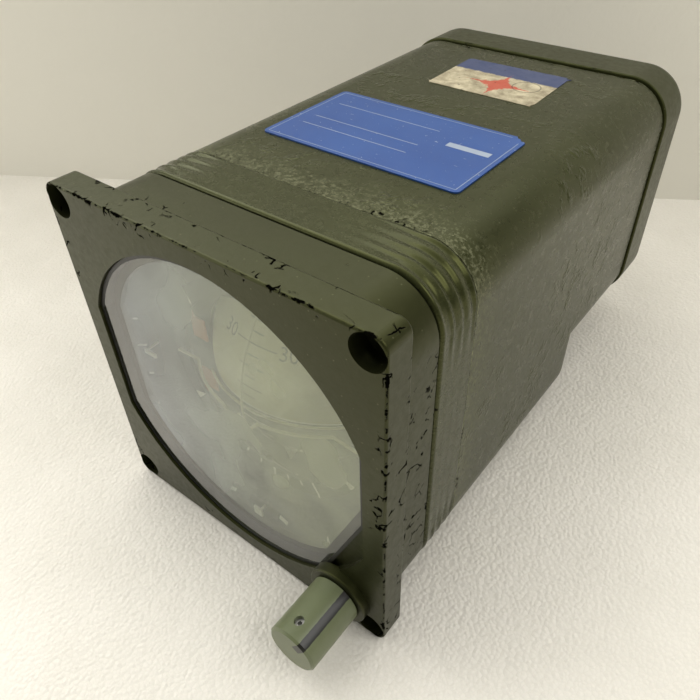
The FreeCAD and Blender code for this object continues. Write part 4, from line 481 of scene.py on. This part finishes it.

# %% [markdown]
# ## Making meshes
# Small painted pieces are closed meshes built point by point. This helper turns a bmesh into an
# object at the origin, hands it to its body and gives it its material.
# %% A helper that finishes a piece


def finish_piece(name, mesh, material, body, smooth=False):
    """Turn a bmesh into a finished object that rides on a CAD body."""
    bmesh.ops.recalc_face_normals(mesh, faces=mesh.faces)
    data = bpy.data.meshes.new(name)
    mesh.to_mesh(data)
    mesh.free()
    data.materials.append(material)
    for face in data.polygons:
        face.use_smooth = smooth
    piece = bpy.data.objects.new(name, data)
    bpy.context.scene.collection.objects.link(piece)
    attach(piece, body)
    print(name, "faces:", len(data.polygons))
    return piece


# %% [markdown]
# ## The seal band round the case
# A metal band covers the seam between the bezel and the case. On the real one the sheet is almost
# flat along the top and the sides and gathers into soft folds where it is drawn round the corners,
# with a black gap in front of it. The solid part has three even ridges, so this mesh stands for it.
# The band is a closed ring: one profile across it is carried round a rounded rectangle, and how
# deep the folds are depends on how near the profile is to a corner.
# %% The folded band
BAND_CORNER, BAND_GAP, BAND_THICK, BAND_DEPTH = 17.4, 1.1, 2.8, 1.8
BAND_LIP, BAND_END, FOLD_REACH, FOLD_PITCH, RIPPLE_PITCH = 1.3, 18.6, 16.0, 4.2, 2.3
FOLD_FLAT, FOLD_DEEP, RIPPLE_DEEP = 0.03, 0.50, 0.14


def band_path(step=0.8):
    """Points of the band's outer line: centre of the round, outward direction and share of fold."""
    path = []
    half, low, high = band_high.x / MM, band_low.z / MM, band_high.z / MM
    middle, tall, r = (low + high) / 2, (high - low) / 2, BAND_CORNER
    for first, sx, sz in ((0, 1, 1), (90, -1, 1), (180, -1, -1), (270, 1, -1)):
        centre = Vector((sx * (half - r), middle + sz * (tall - r)))
        for k in range(31):
            angle = math.radians(first + 3 * k)
            path.append((centre, Vector((math.cos(angle), math.sin(angle))), 1.0))
        ahead = Vector((math.cos(math.radians(first + 180)), math.sin(math.radians(first + 180))))
        out = Vector((math.cos(math.radians(first + 90)), math.sin(math.radians(first + 90))))
        span = 2 * ((half - r) if first in (0, 180) else (tall - r))
        count = int(span / step)
        for k in range(1, count):
            gone = span * k / count
            fold = max(0.0, 1.0 - min(gone, span - gone) / FOLD_REACH) ** 1.6
            path.append((centre + ahead * gone, out, fold))
    return path


def band_depth(along, fold, place):
    """How far the band lies inside its largest outline, in millimetres."""
    if along < BAND_GAP:
        return BAND_DEPTH
    lip = BAND_LIP - min(along - BAND_GAP, BAND_LIP)
    depth = BAND_LIP - math.sqrt(max(BAND_LIP ** 2 - lip ** 2, 0.0))
    wave = 0.5 - 0.5 * math.cos(2 * math.pi * (along - 2.2) / FOLD_PITCH + 0.5 * math.sin(place * 0.11))
    ripple = 0.5 - 0.5 * math.cos(2 * math.pi * along / RIPPLE_PITCH + 0.9 * math.sin(place * 0.23))
    end = max(0.0, along - BAND_END) * 0.5
    folds = (FOLD_FLAT + FOLD_DEEP * fold) * wave * min(1.0, along / 6.0)
    return depth + folds + RIPPLE_DEEP * fold * ripple + end + 0.05


band_length = (band_high.y - band_low.y) / MM
sheet_length = band_length - BAND_GAP - 0.02
stations = [0.0, BAND_GAP - 0.02] + [BAND_GAP + 0.02 + sheet_length * k / 64 for k in range(65)]
band = bmesh.new()
rings = []
for number, (centre, out_way, fold) in enumerate(band_path()):
    ring = []
    for along in stations:
        spot = centre + out_way * (BAND_CORNER - band_depth(along, fold, number))
        ring.append(band.verts.new(Vector((spot.x, band_low.y / MM + along, spot.y)) * MM))
    for along in (band_length, 0.0):
        spot = centre + out_way * (BAND_CORNER - BAND_THICK)
        ring.append(band.verts.new(Vector((spot.x, band_low.y / MM + along, spot.y)) * MM))
    rings.append(ring)
# The floor and step of the gap in front of the sheet take the second finish, a black that is painted shade
# in the recess; the hidden ends and inside take it too.
for first, second in zip(rings, rings[1:] + rings[:1]):
    for k in range(len(first)):
        n = (k + 1) % len(first)
        face = band.faces.new((first[k], first[n], second[n], second[k]))
        face.material_index = 1 if k <= 1 or k >= len(stations) - 1 else 0
folded_band = finish_piece("folded_band", band, BAND_ENAMEL, "case", smooth=True)
folded_band.data.materials.append(SEAL_RUBBER_AND_GAP_SHADE)
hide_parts("seal_band")

# %% [markdown]
# ## Painted strokes
# Every mark on the dial is a stroke: a line, or a triangle when one end is narrow. A stroke is a
# small closed strip that follows the surface under it, so the same function paints on the sloping
# mask and on the ball. It takes a function that turns flat positions into points on that surface.
# %% The stroke


def stroke(mesh, start, end, width_start, width_end, place, thick=0.06, steps=6):
    """Add one stroke between two flat positions in millimetres; place(u, v, h) is the surface."""
    start, end = Vector(start), Vector(end)
    along = (end - start).normalized()
    across = Vector((-along.y, along.x))
    rows = []
    for step in range(steps + 1):
        share = step / steps
        middle = start.lerp(end, share)
        half = (width_start + (width_end - width_start) * share) / 2
        ring = []
        for side, height in ((-1, 0.01), (1, 0.01), (1, thick), (-1, thick)):
            spot = middle + across * half * side
            ring.append(mesh.verts.new(place(spot.x, spot.y, height)))
        rows.append(ring)
    for first, second in zip(rows, rows[1:]):
        for k in range(4):
            mesh.faces.new((first[k], first[(k + 1) % 4], second[(k + 1) % 4], second[k]))
    mesh.faces.new(rows[0])
    mesh.faces.new(list(reversed(rows[-1])))


# %% [markdown]
# ## The printing on the dished mask
# The mask is a cone that slopes in from the window to a flat ring around the ball. White marks show
# bank at the bottom, glide scale dots at the left, and the turn scale below the ball.
# %% Marks on the mask
MASK_EDGE, MASK_STEP, MASK_FRONT, MASK_FLAT = 56.6, 44.0, -2.2, 8.0


def on_mask(x, z, height):
    """The point of the mask in front of (x, z), raised towards the window."""
    radius = math.hypot(x, z)
    share = min(max((radius - MASK_STEP) / (MASK_EDGE - MASK_STEP), 0.0), 1.0)
    y = MASK_FLAT + (MASK_FRONT - MASK_FLAT) * share
    return Vector((x, y - height, z)) * MM


def polar(radius, degrees):
    """A flat position from a radius and an angle measured from 6 o'clock, to the right."""
    angle = math.radians(degrees)
    return (radius * math.sin(angle), -radius * math.cos(angle))


BANK_TICKS = ((0, 42.5, 1.1), (10, 40.6, 0.7), (20, 40.6, 0.7), (30, 44.4, 0.9), (45, 40.6, 0.7))
marks = bmesh.new()
for degrees, outer, wide in BANK_TICKS:
    for side in (1, -1) if degrees else (1,):
        stroke(marks, polar(38.0, side * degrees), polar(outer, side * degrees), wide, wide, on_mask)
for degrees in (60, 131, -60, -131):
    stroke(marks, polar(37.9, degrees), polar(43.4, degrees), 0.3, 3.4, on_mask)
for z in (-26.0, -13.0, 13.0, 26.0):
    stroke(marks, (-53.0, z), (-49.8 if abs(z) > 20 else -51.6, z), 0.9, 0.9, on_mask)
stroke(marks, (-56.2, 0.0), (-52.2, 0.0), 1.0, 1.0, on_mask)
for x in (-15.5, 11.0):
    stroke(marks, (x - 3.0, -53.2), (x + 1.6, -53.2), 1.1, 1.1, on_mask)
stroke(marks, (32.2, -43.6), (35.6, -46.4), 0.2, 3.6, on_mask)
finish_piece("dial_marks", marks, MARK_PAINT, "case")

# %% [markdown]
# ## The ball's lines and figures
# The horizon is a white line around the ball, with short rungs above and below it for pitch, and
# figures at every thirty degrees. A place on the ball is a longitude and a latitude, so the strokes
# bend with it. The figures are text turned into a mesh, whose points are then laid on the ball.
# %% Ladder on the ball
BALL_R, BALL_Y = 44.0, 46.0


def on_ball(u, v, height):
    """A point on the ball: u is longitude and v latitude, both in degrees, from the pilot's side."""
    lon, lat = math.radians(u), math.radians(v)
    radius = BALL_R + height
    return Vector((radius * math.sin(lon) * math.cos(lat), BALL_Y - radius * math.cos(lon) * math.cos(lat),
                   radius * math.sin(lat))) * MM


ladder_dark, ladder_pale = bmesh.new(), bmesh.new()
for latitude in range(-60, 61, 5):
    if latitude == 0:
        continue
    half = 11.0 if latitude % 30 == 0 else 7.0 if latitude % 10 == 0 else 3.0
    sheet = ladder_dark if latitude > 0 else ladder_pale
    stretch = 1 / math.cos(math.radians(latitude))
    stroke(sheet, (-half * stretch, latitude), (half * stretch, latitude), 0.55, 0.55, on_ball, 0.05, 8)
for start_angle in range(0, 360, 10):
    stroke(ladder_pale, (start_angle, -0.35), (start_angle + 10, -0.35), 0.7, 0.7, on_ball, 0.05, 4)
INK = coating("ball_dark_ink", "5A5D50", 0.6)
finish_piece("ball_ladder_dark", ladder_dark, INK, "sphere")
finish_piece("ball_ladder_pale", ladder_pale, MARK_PAINT, "sphere")

# %% [markdown]
# The figures are made flat first, one text at a time, and each point is then moved onto the ball.
# %% Figures on the ball
FIGURE_SIZE = 9.0
SKY_FIGURES = (("30", -19, 30), ("30", 19, 30), ("60", -30, 60), ("60", 30, 60))
GROUND_FIGURES = (("30", -19, -30), ("30", 19, -30))


def figures(name, places, material):
    """Numbers laid on the ball. places is a list of (text, longitude, latitude)."""
    sheet = bmesh.new()
    for text, lon, lat in places:
        curve = bpy.data.curves.new("figure", "FONT")
        curve.body, curve.size, curve.extrude = text, FIGURE_SIZE, 0.02
        curve.align_x, curve.align_y = "CENTER", "CENTER"
        curve.resolution_u = 3
        holder = bpy.data.objects.new("figure", curve)
        bpy.context.scene.collection.objects.link(holder)
        bpy.context.view_layer.update()
        flat = bpy.data.meshes.new_from_object(holder)
        stretch = 1 / math.cos(math.radians(lat))
        for vertex in flat.vertices:
            u, v, h = vertex.co
            vertex.co = on_ball(lon + u * stretch, lat + v, 0.03 + h)
        sheet.from_mesh(flat)
        bpy.data.objects.remove(holder)
        bpy.data.meshes.remove(flat)
        bpy.data.curves.remove(curve)
    finish_piece(name, sheet, material, "sphere")


figures("ball_figures_dark", SKY_FIGURES, INK)
figures("ball_figures_pale", GROUND_FIGURES, MARK_PAINT)

# %% [markdown]
# ## The fog on the inside of the window
# The film has the outline of the hole in the bezel's ledge: a circle cropped by two upright flats
# and by a slanting flat beside the knob. The outline is found by walking round in small steps and
# keeping the nearest of the four limits, which is easier to change than a list of corners.
# %% The fog film
FLAT_ANGLE = math.radians(-23.7)


def window_outline(radius, half, cut, count=180):
    """Points of the cropped circle, in millimetres."""
    points = []
    for step in range(count):
        angle = 2 * math.pi * step / count
        reach = radius
        if abs(math.cos(angle)) > 1e-6:
            reach = min(reach, half / abs(math.cos(angle)))
        towards = math.cos(angle - FLAT_ANGLE)
        if towards > 1e-6:
            reach = min(reach, cut / towards)
        points.append((reach * math.cos(angle), reach * math.sin(angle)))
    return points


def thin_sheet(name, outline, front, back, material, body):
    """A flat closed sheet between two stations along Y, in millimetres."""
    sheet = bmesh.new()
    near = [sheet.verts.new(Vector((x, front, z)) * MM) for x, z in outline]
    far = [sheet.verts.new(Vector((x, back, z)) * MM) for x, z in outline]
    sheet.faces.new(near)
    sheet.faces.new(list(reversed(far)))
    for k in range(len(near)):
        n = (k + 1) % len(near)
        sheet.faces.new((near[k], far[k], far[n], near[n]))
    finish_piece(name, sheet, material, body)


GLASS_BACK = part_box("window_glass")[1].y / MM
thin_sheet("window_fog_film", window_outline(55.5, 51.0, 49.6), GLASS_BACK + 0.02, GLASS_BACK + 0.07,
           FOG, "case")

# %% [markdown]
# ## The blue plate
# A thin aluminium plate with blue printed enamel is bonded to the top of the case. Its maker's
# lettering is left off here, so it carries only a thin pale border, three ruled lines and one blank
# field. One corner is torn away, and the blue has rubbed off in small scratches that show the metal.
# %% Plate finish


def plate_finish(name):
    """Blue enamel on aluminium with scratches down to the metal."""
    material, tree, place = new_material(name)
    cloud = add(tree, "TexNoise", {"Vector": place, "Scale": 45.0, "Detail": 4.0})
    blue = add(tree, "Mix", {"Factor": cloud, "A": linear("1A4184"), "B": linear("2A569A")},
               data_type="RGBA")
    slanted = add(tree, "Mapping", {"Vector": place, "Scale": (160.0, 1400.0, 300.0),
                                    "Rotation": (0, 0, 0.6)})
    hairs = add(tree, "TexNoise", {"Vector": slanted, "Scale": 1.0, "Detail": 3.0})
    lines = add(tree, "MapRange", {"Value": hairs, "From Min": 0.72, "From Max": 0.76, "To Max": 0.8})
    ragged = add(tree, "TexNoise", {"Vector": place, "Scale": 700.0, "Detail": 5.0, "Roughness": 0.7})
    nicks = add(tree, "MapRange", {"Value": ragged, "From Min": 0.665, "From Max": 0.69})
    bare = add(tree, "Math", {0: lines, 1: nicks}, operation="MAXIMUM")
    base = add(tree, "Mix", {"Factor": bare, "A": blue, "B": linear("B9C2CC")}, data_type="RGBA")
    shader = add(tree, "BsdfPrincipled", {"Base Color": base, "IOR": 1.5, "Roughness": 0.34})
    add(tree, "OutputMaterial", {"Surface": shader})
    return material


PLATE_BLUE = plate_finish("blue_enamelled_plate")
PLATE_PRINT = coating("plate_silver_print", "98A4B6", 0.4)

# %% [markdown]
# The plate is a flat sheet with round corners, and the points of one corner give way to a torn line.
# %% The plate's shape
TOP = case_high.z / MM
PLATE_LEFT, PLATE_RIGHT, PLATE_FRONT, PLATE_REAR = -40.5, 38.0, 60.0, 106.0
PLATE_THICK, PLATE_CORNER, BORDER_INSET = 0.5, 2.0, 1.6


def rounded_outline(left, right, front, rear, corner, steps=6):
    """A rounded rectangle seen from above, anticlockwise, in millimetres."""
    points = []
    for cx, cy, first in ((right - corner, front + corner, -90), (right - corner, rear - corner, 0),
                          (left + corner, rear - corner, 90), (left + corner, front + corner, 180)):
        for step in range(steps + 1):
            angle = math.radians(first + 90 * step / steps)
            points.append((cx + corner * math.cos(angle), cy + corner * math.sin(angle)))
    return points


def lying_sheet(name, outline, low, high, material):
    """A flat closed sheet lying on the case, between two heights."""
    sheet = bmesh.new()
    under = [sheet.verts.new(Vector((x, y, low)) * MM) for x, y in outline]
    over = [sheet.verts.new(Vector((x, y, high)) * MM) for x, y in outline]
    sheet.faces.new(under)
    sheet.faces.new(over)
    for k in range(len(under)):
        n = (k + 1) % len(under)
        sheet.faces.new((under[k], under[n], over[n], over[k]))
    finish_piece(name, sheet, material, "case")


whole = rounded_outline(PLATE_LEFT, PLATE_RIGHT, PLATE_FRONT, PLATE_REAR, PLATE_CORNER)
outline = [p for p in whole if not (p[0] > 30 and p[1] > 100)]
torn = [(38.0, 102.6), (37.2, 103.3), (36.4, 103.1), (35.3, 104.6), (34.2, 104.9), (33.7, 106.0)]
where = max(i for i, p in enumerate(outline) if p[0] > 30 and p[1] < 100) + 1
outline[where:where] = torn
lying_sheet("blue_plate", outline, TOP + 0.02, TOP + PLATE_THICK, PLATE_BLUE)

print_lines = bmesh.new()


def on_plate(x, y, height):
    """A point on the plate's face."""
    return Vector((x, y, TOP + PLATE_THICK + height)) * MM


left, right = PLATE_LEFT + BORDER_INSET, PLATE_RIGHT - BORDER_INSET
front, rear = PLATE_FRONT + BORDER_INSET, PLATE_REAR - BORDER_INSET
for a, b in (((left, front), (right, front)), ((left, front), (left, rear)),
             ((left, rear), (32.5, rear)), ((right, front), (right, 101.0))):
    stroke(print_lines, a, b, 0.22, 0.22, on_plate, 0.03, 1)
stroke(print_lines, (17.5, 87.5), (33.5, 87.5), 3.0, 3.0, on_plate, 0.03, 1)
for y in (74.0, 81.0, 94.5):
    stroke(print_lines, (-34.0, y), (10.0, y), 0.3, 0.3, on_plate, 0.03, 1)
finish_piece("plate_print", print_lines, PLATE_PRINT, "case")

# %% [markdown]
# ## The paper label
# A small stock label is stuck further back. It is matt paper with a torn edge, a printed blue strip,
# a burst of red, a faint dark ring and smudges, and no words.
# %% Paper label
STRIP_START, BURST_PLACE = 157.0 * MM, (4.0 * MM, 146.5 * MM, 0.0)
BURST_WIDE, BURST_DEEP, BURST_POWER = 9.0 * MM, 7.5 * MM, 0.45
RING_PLACE, RING_RADIUS = (14.5 * MM, 150.0 * MM, TOP * MM), 5.5 * MM


def paper_finish(name):
    """Soiled paper with a blue strip at the rear, a red burst, a faint dark ring and smudges."""
    material, tree, place = new_material(name)
    soil = add(tree, "TexNoise", {"Vector": place, "Scale": 160.0, "Detail": 6.0, "Roughness": 0.7})
    ragged = add(tree, "TexNoise", {"Vector": place, "Scale": 620.0, "Detail": 4.0, "Roughness": 0.7})
    clean = add(tree, "MapRange", {"Value": soil, "From Min": 0.35, "From Max": 0.65})
    paper = add(tree, "Mix", {"Factor": clean, "A": linear("8B8068"), "B": linear("CEC4A6")},
                data_type="RGBA")
    along = add(tree, "SeparateXYZ", {"Vector": place}).outputs["Y"]
    frayed = add(tree, "Math", {0: ragged, 1: 3.0 * MM, 2: along}, operation="MULTIPLY_ADD")
    strip = add(tree, "MapRange", {"Value": frayed, "From Min": STRIP_START,
                                   "From Max": STRIP_START + 0.8 * MM, "To Max": 0.92})
    printed = add(tree, "Mix", {"Factor": strip, "A": paper, "B": linear("2E3F6B")}, data_type="RGBA")

    # A sum of two small powers makes the four long points of the burst.
    from_burst = add(tree, "VectorMath", {0: place, 1: BURST_PLACE}, operation="SUBTRACT")
    spot = add(tree, "SeparateXYZ", {"Vector": from_burst}).outputs
    points = []
    for axis, size in (("X", BURST_WIDE), ("Y", BURST_DEEP)):
        part = add(tree, "Math", {0: spot[axis], 1: size}, operation="DIVIDE")
        far = add(tree, "Math", {0: part}, operation="ABSOLUTE")
        points.append(add(tree, "Math", {0: far, 1: BURST_POWER}, operation="POWER"))
    smooth = add(tree, "Math", {0: points[0], 1: points[1]}, operation="ADD")
    star = add(tree, "Math", {0: ragged, 1: 0.7, 2: smooth}, operation="MULTIPLY_ADD")
    burst = add(tree, "MapRange", {"Value": star, "From Min": 1.72, "From Max": 1.64, "To Max": 0.85})
    inked = add(tree, "Mix", {"Factor": burst, "A": printed, "B": linear("B8402C")}, data_type="RGBA")

    # The ring and the smudges share one dark brown.
    from_ring = add(tree, "VectorMath", {0: place, 1: RING_PLACE}, operation="DISTANCE")
    off_centre = add(tree, "Math", {0: from_ring, 1: RING_RADIUS}, operation="SUBTRACT")
    off_ring = add(tree, "Math", {0: off_centre}, operation="ABSOLUTE")
    blurred = add(tree, "Math", {0: ragged, 1: 0.8 * MM, 2: off_ring}, operation="MULTIPLY_ADD")
    ring = add(tree, "MapRange", {"Value": blurred, "From Min": 0.75 * MM, "From Max": 0.60 * MM,
                                  "To Max": 0.6})
    dirt = add(tree, "TexNoise", {"Vector": place, "Scale": 330.0, "Detail": 6.0, "Roughness": 0.75})
    smudge = add(tree, "MapRange", {"Value": dirt, "From Min": 0.62, "From Max": 0.66, "To Max": 0.75})
    dark = add(tree, "Math", {0: ring, 1: smudge}, operation="MAXIMUM")
    final = add(tree, "Mix", {"Factor": dark, "A": inked, "B": linear("2A2720")}, data_type="RGBA")
    shader = add(tree, "BsdfPrincipled", {"Base Color": final, "Roughness": 0.75})
    add(tree, "OutputMaterial", {"Surface": shader})
    return material


PAPER = paper_finish("soiled_paper")
random.seed(7)
label = []
for x, y in rounded_outline(-21.0, 25.0, 134.0, 168.0, 1.5):
    ragged = 1.0 if y < 140 or x > 20 else 0.2
    label.append((x + random.uniform(-ragged, ragged), y + random.uniform(-ragged, ragged)))
lying_sheet("paper_label", label, TOP + 0.02, TOP + 0.2, PAPER)

# %% [markdown]
# ## The receptacle's flange screws
# Four small domed screws hold the receptacle's flange to the rear cap. They are all alike and sit on
# a square, so a Geometry Nodes tree makes them: a grid of two by two points, with one squashed
# sphere on each. Its inputs are the square's side, the head's radius and its height, so a different
# receptacle only needs other numbers.
# %% Screws by Geometry Nodes
SCREW_SQUARE, HEAD_RADIUS, HEAD_RISE = 27.6 * MM, 2.6 * MM, 1.3 * MM
RECEPTACLE_FLANGE = 3.0 * MM


def screw_tree(material):
    """A node tree that puts domed screw heads on the corners of a square."""
    tree = bpy.data.node_groups.new("flange_screws", "GeometryNodeTree")
    for label, value in (("Square", SCREW_SQUARE), ("Head radius", HEAD_RADIUS), ("Head rise", HEAD_RISE)):
        tree.interface.new_socket(label, in_out="INPUT", socket_type="NodeSocketFloat").default_value = value
    tree.interface.new_socket("Geometry", in_out="OUTPUT", socket_type="NodeSocketGeometry")
    sizes = add(tree, "NodeGroupInput").outputs
    corners = add(tree, "GeometryNodeMeshGrid", {"Size X": sizes["Square"], "Size Y": sizes["Square"],
                                                 "Vertices X": 2, "Vertices Y": 2})
    ball = add(tree, "GeometryNodeMeshUVSphere", {"Segments": 24, "Rings": 12, "Radius": 1.0})
    shape = add(tree, "CombineXYZ", {"X": sizes["Head radius"], "Y": sizes["Head radius"],
                                     "Z": sizes["Head rise"]})
    dome = add(tree, "GeometryNodeTransform", {"Geometry": ball, "Scale": shape})
    heads = add(tree, "GeometryNodeInstanceOnPoints", {"Points": corners, "Instance": dome})
    solid = add(tree, "GeometryNodeRealizeInstances", {"Geometry": heads})
    dressed = add(tree, "GeometryNodeSetMaterial", {"Geometry": solid, "Material": material})
    add(tree, "NodeGroupOutput", {"Geometry": dressed})
    return tree


def from_tree(tree, values):
    """Evaluate a node tree on an empty mesh and give back the result as a plain mesh."""
    holder = bpy.data.objects.new("holder", bpy.data.meshes.new("holder"))
    bpy.context.scene.collection.objects.link(holder)
    modifier = holder.modifiers.new("tree", "NODES")
    modifier.node_group = tree
    for item in tree.interface.items_tree:
        if item.in_out == "INPUT" and item.name in values:
            modifier[item.identifier] = values[item.name]
    ready = holder.evaluated_get(bpy.context.evaluated_depsgraph_get())
    mesh = bpy.data.meshes.new_from_object(ready)
    bpy.data.objects.remove(holder)
    return mesh


heads_mesh = from_tree(screw_tree(STEEL), {"Square": SCREW_SQUARE, "Head radius": HEAD_RADIUS,
                                           "Head rise": HEAD_RISE})
shell_low, shell_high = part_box("connector_shell")
receptacle_z = (shell_low.z + shell_high.z) / 2
heads = bmesh.new()
heads.from_mesh(heads_mesh)
for vertex in heads.verts:
    x, y, z = vertex.co
    vertex.co = (x, cap_high.y + RECEPTACLE_FLANGE + z, receptacle_z + y)
finish_piece("receptacle_screws", heads, STEEL, "case", smooth=True)

# %% [markdown]
# ## Floor, wall and light
# The instrument rests on the lower edge of its bezel and on its belly, so the table's plane is found
# from those two lines. The table is a white foam sheet with a fine bubbly skin. A low pale wall
# stands behind it, and it can't be seen from its back, so it never hides the instrument.
# %% The table
TABLE_HALF, WALL_HEIGHT, BEADS = 3.0, 0.3, 620.0
REST_FRONT = Vector((0, 0, bezel_low.z))
REST_BELLY = Vector((0, 0.126, case_low.z))
tilt = (REST_BELLY.z - REST_FRONT.z) / (REST_BELLY.y - REST_FRONT.y)
print("table slopes by", round(math.degrees(math.atan(tilt)), 2), "degrees")


def table_point(x, y):
    """A point of the table below (x, y), in metres."""
    return Vector((x, y, REST_FRONT.z - 0.0001 + tilt * y))


def foam(name, colour, bumpy):
    """White foam sheet: pressed beads under two millimetres across, in slow waves."""
    material, tree, place = new_material(name)
    colours = add(tree, "TexNoise", {"Vector": place, "Scale": 200.0, "Detail": 3.0}).outputs["Color"]
    swirl = add(tree, "VectorMath", {0: colours, "Scale": 2.0 * MM}, operation="SCALE")
    shifted = add(tree, "VectorMath", {0: place, 1: swirl}, operation="ADD")
    beads = add(tree, "TexVoronoi", {"Vector": shifted, "Scale": BEADS})
    border = add(tree, "TexVoronoi", {"Vector": shifted, "Scale": BEADS}, feature="DISTANCE_TO_EDGE")
    waves = add(tree, "TexNoise", {"Vector": place, "Scale": 70.0, "Detail": 3.0, "Roughness": 0.6})
    lifted = add(tree, "Math", {0: waves, 1: bumpy * MM}, operation="MULTIPLY")
    height = add(tree, "Math", {0: beads, 1: -bumpy * MM, 2: lifted}, operation="MULTIPLY_ADD")
    relief = add(tree, "Bump", {"Height": height, "Strength": 1.0, "Distance": 1.0})
    rim = add(tree, "MapRange", {"Value": border, "From Min": 0.10, "From Max": 0.0, "To Max": 0.35})
    cloud = add(tree, "TexNoise", {"Vector": place, "Scale": 18.0, "Detail": 4.0, "Roughness": 0.6})
    slow = add(tree, "MapRange", {"Value": cloud, "From Min": 0.35, "From Max": 0.65, "To Max": 0.5})
    both = add(tree, "Math", {0: rim, 1: slow}, operation="ADD")
    tone = add(tree, "Math", {0: both, 1: 0.5}, operation="MULTIPLY")
    base = add(tree, "Mix", {"Factor": tone, "A": linear(colour), "B": linear("D6D2C6")},
               data_type="RGBA")
    shader = add(tree, "BsdfPrincipled", {"Base Color": base, "Roughness": 0.6, "Normal": relief})
    add(tree, "OutputMaterial", {"Surface": shader})
    return material


TABLE_FOAM = foam("white_foam_sheet", "F0ECE3", 0.35)


def stage_sheet(name, corners, material):
    """A four-cornered sheet of the setting, not attached to any body of the instrument."""
    data = bpy.data.meshes.new(name)
    data.from_pydata([tuple(c) for c in corners], [], [(0, 1, 2, 3)])
    data.materials.append(material)
    sheet = bpy.data.objects.new(name, data)
    bpy.context.scene.collection.objects.link(sheet)


table_corners = [(-TABLE_HALF, -TABLE_HALF), (TABLE_HALF, -TABLE_HALF),
                 (TABLE_HALF, TABLE_HALF), (-TABLE_HALF, TABLE_HALF)]
stage_sheet("table", [table_point(x, y) for x, y in table_corners], TABLE_FOAM)

# %% [markdown]
# The wall is matt paint with a fine grain. Two corners of its foot say where it stands.
# %% The wall
WALL_LEFT, WALL_RIGHT = Vector((-0.95, -0.223)), Vector((0.75, 0.710))


def one_sided(name, colour):
    """Matt paint in front and nothing at all from behind."""
    material, tree, place = new_material(name)
    behind = add(tree, "NewGeometry").outputs["Backfacing"]
    grit = add(tree, "TexNoise", {"Vector": place, "Scale": 260.0, "Detail": 4.0, "Roughness": 0.6})
    height = add(tree, "Math", {0: grit, 1: 0.2 * MM}, operation="MULTIPLY")
    relief = add(tree, "Bump", {"Height": height, "Strength": 1.0, "Distance": 1.0})
    matt = add(tree, "BsdfDiffuse", {"Color": linear(colour), "Normal": relief})
    shader = add(tree, "MixShader", {0: behind, 1: matt, 2: add(tree, "BsdfTransparent")})
    add(tree, "OutputMaterial", {"Surface": shader})
    return material


WALL_PAINT = one_sided("plain_wall", "F1EEE2")
foot_left, foot_right = table_point(*WALL_LEFT), table_point(*WALL_RIGHT)
upwards = Vector((0, 0, WALL_HEIGHT))
stage_sheet("wall", [foot_left, foot_right, foot_right + upwards, foot_left + upwards], WALL_PAINT)
print("wall is", WALL_HEIGHT, "m high")

# %% [markdown]
# ## Light
# Three big soft lamps stand in for a bright room, and a sky that is brightest in one direction gives
# the dark enamel its sheen.
# %% The sky and the lamps
world = bpy.data.worlds.new("room")
world.use_nodes = True
tree = world.node_tree
tree.nodes.clear()
towards = add(tree, "TexCoord").outputs["Generated"]
facing = add(tree, "VectorMath", {0: towards, 1: (-0.60, 0.38, 0.70)}, operation="DOT_PRODUCT")
bright = add(tree, "MapRange", {"Value": facing, "From Min": 0.30, "From Max": 0.95,
                                "To Min": 0.14, "To Max": 2.30})
sky = add(tree, "Background", {"Color": (1.0, 0.985, 0.93, 1), "Strength": bright})
add(tree, "OutputWorld", {"Surface": sky})
bpy.context.scene.world = world


def lamp(name, place, size, power, colour, target=(0.0, 0.08, 0.0)):
    """A square soft lamp that faces a target; power is in watts."""
    data = bpy.data.lights.new(name, "AREA")
    data.size, data.energy, data.color = size, power, colour
    light = bpy.data.objects.new(name, data)
    light.location = place
    light.rotation_euler = (Vector(target) - Vector(place)).to_track_quat("-Z", "Y").to_euler()
    bpy.context.scene.collection.objects.link(light)


lamp("window_lamp", (-0.60, 0.10, 0.85), 0.7, 1.9, (1.0, 0.98, 0.93))
lamp("wall_lamp", (-0.65, -0.55, 0.24), 0.4, 1.7, (1.0, 0.98, 0.95), target=(-0.40, 0.12, 0.10))
lamp("fill_lamp", (0.75, 0.15, 0.75), 0.6, 5.0, (1.0, 0.98, 0.94), target=(0.25, 0.1, -0.06))
print("lamps:", 3)

# %% [markdown]
# ## Finishing
# The picture uses the Standard view transform.
# %% The view transform
bpy.context.scene.view_settings.view_transform = "Standard"
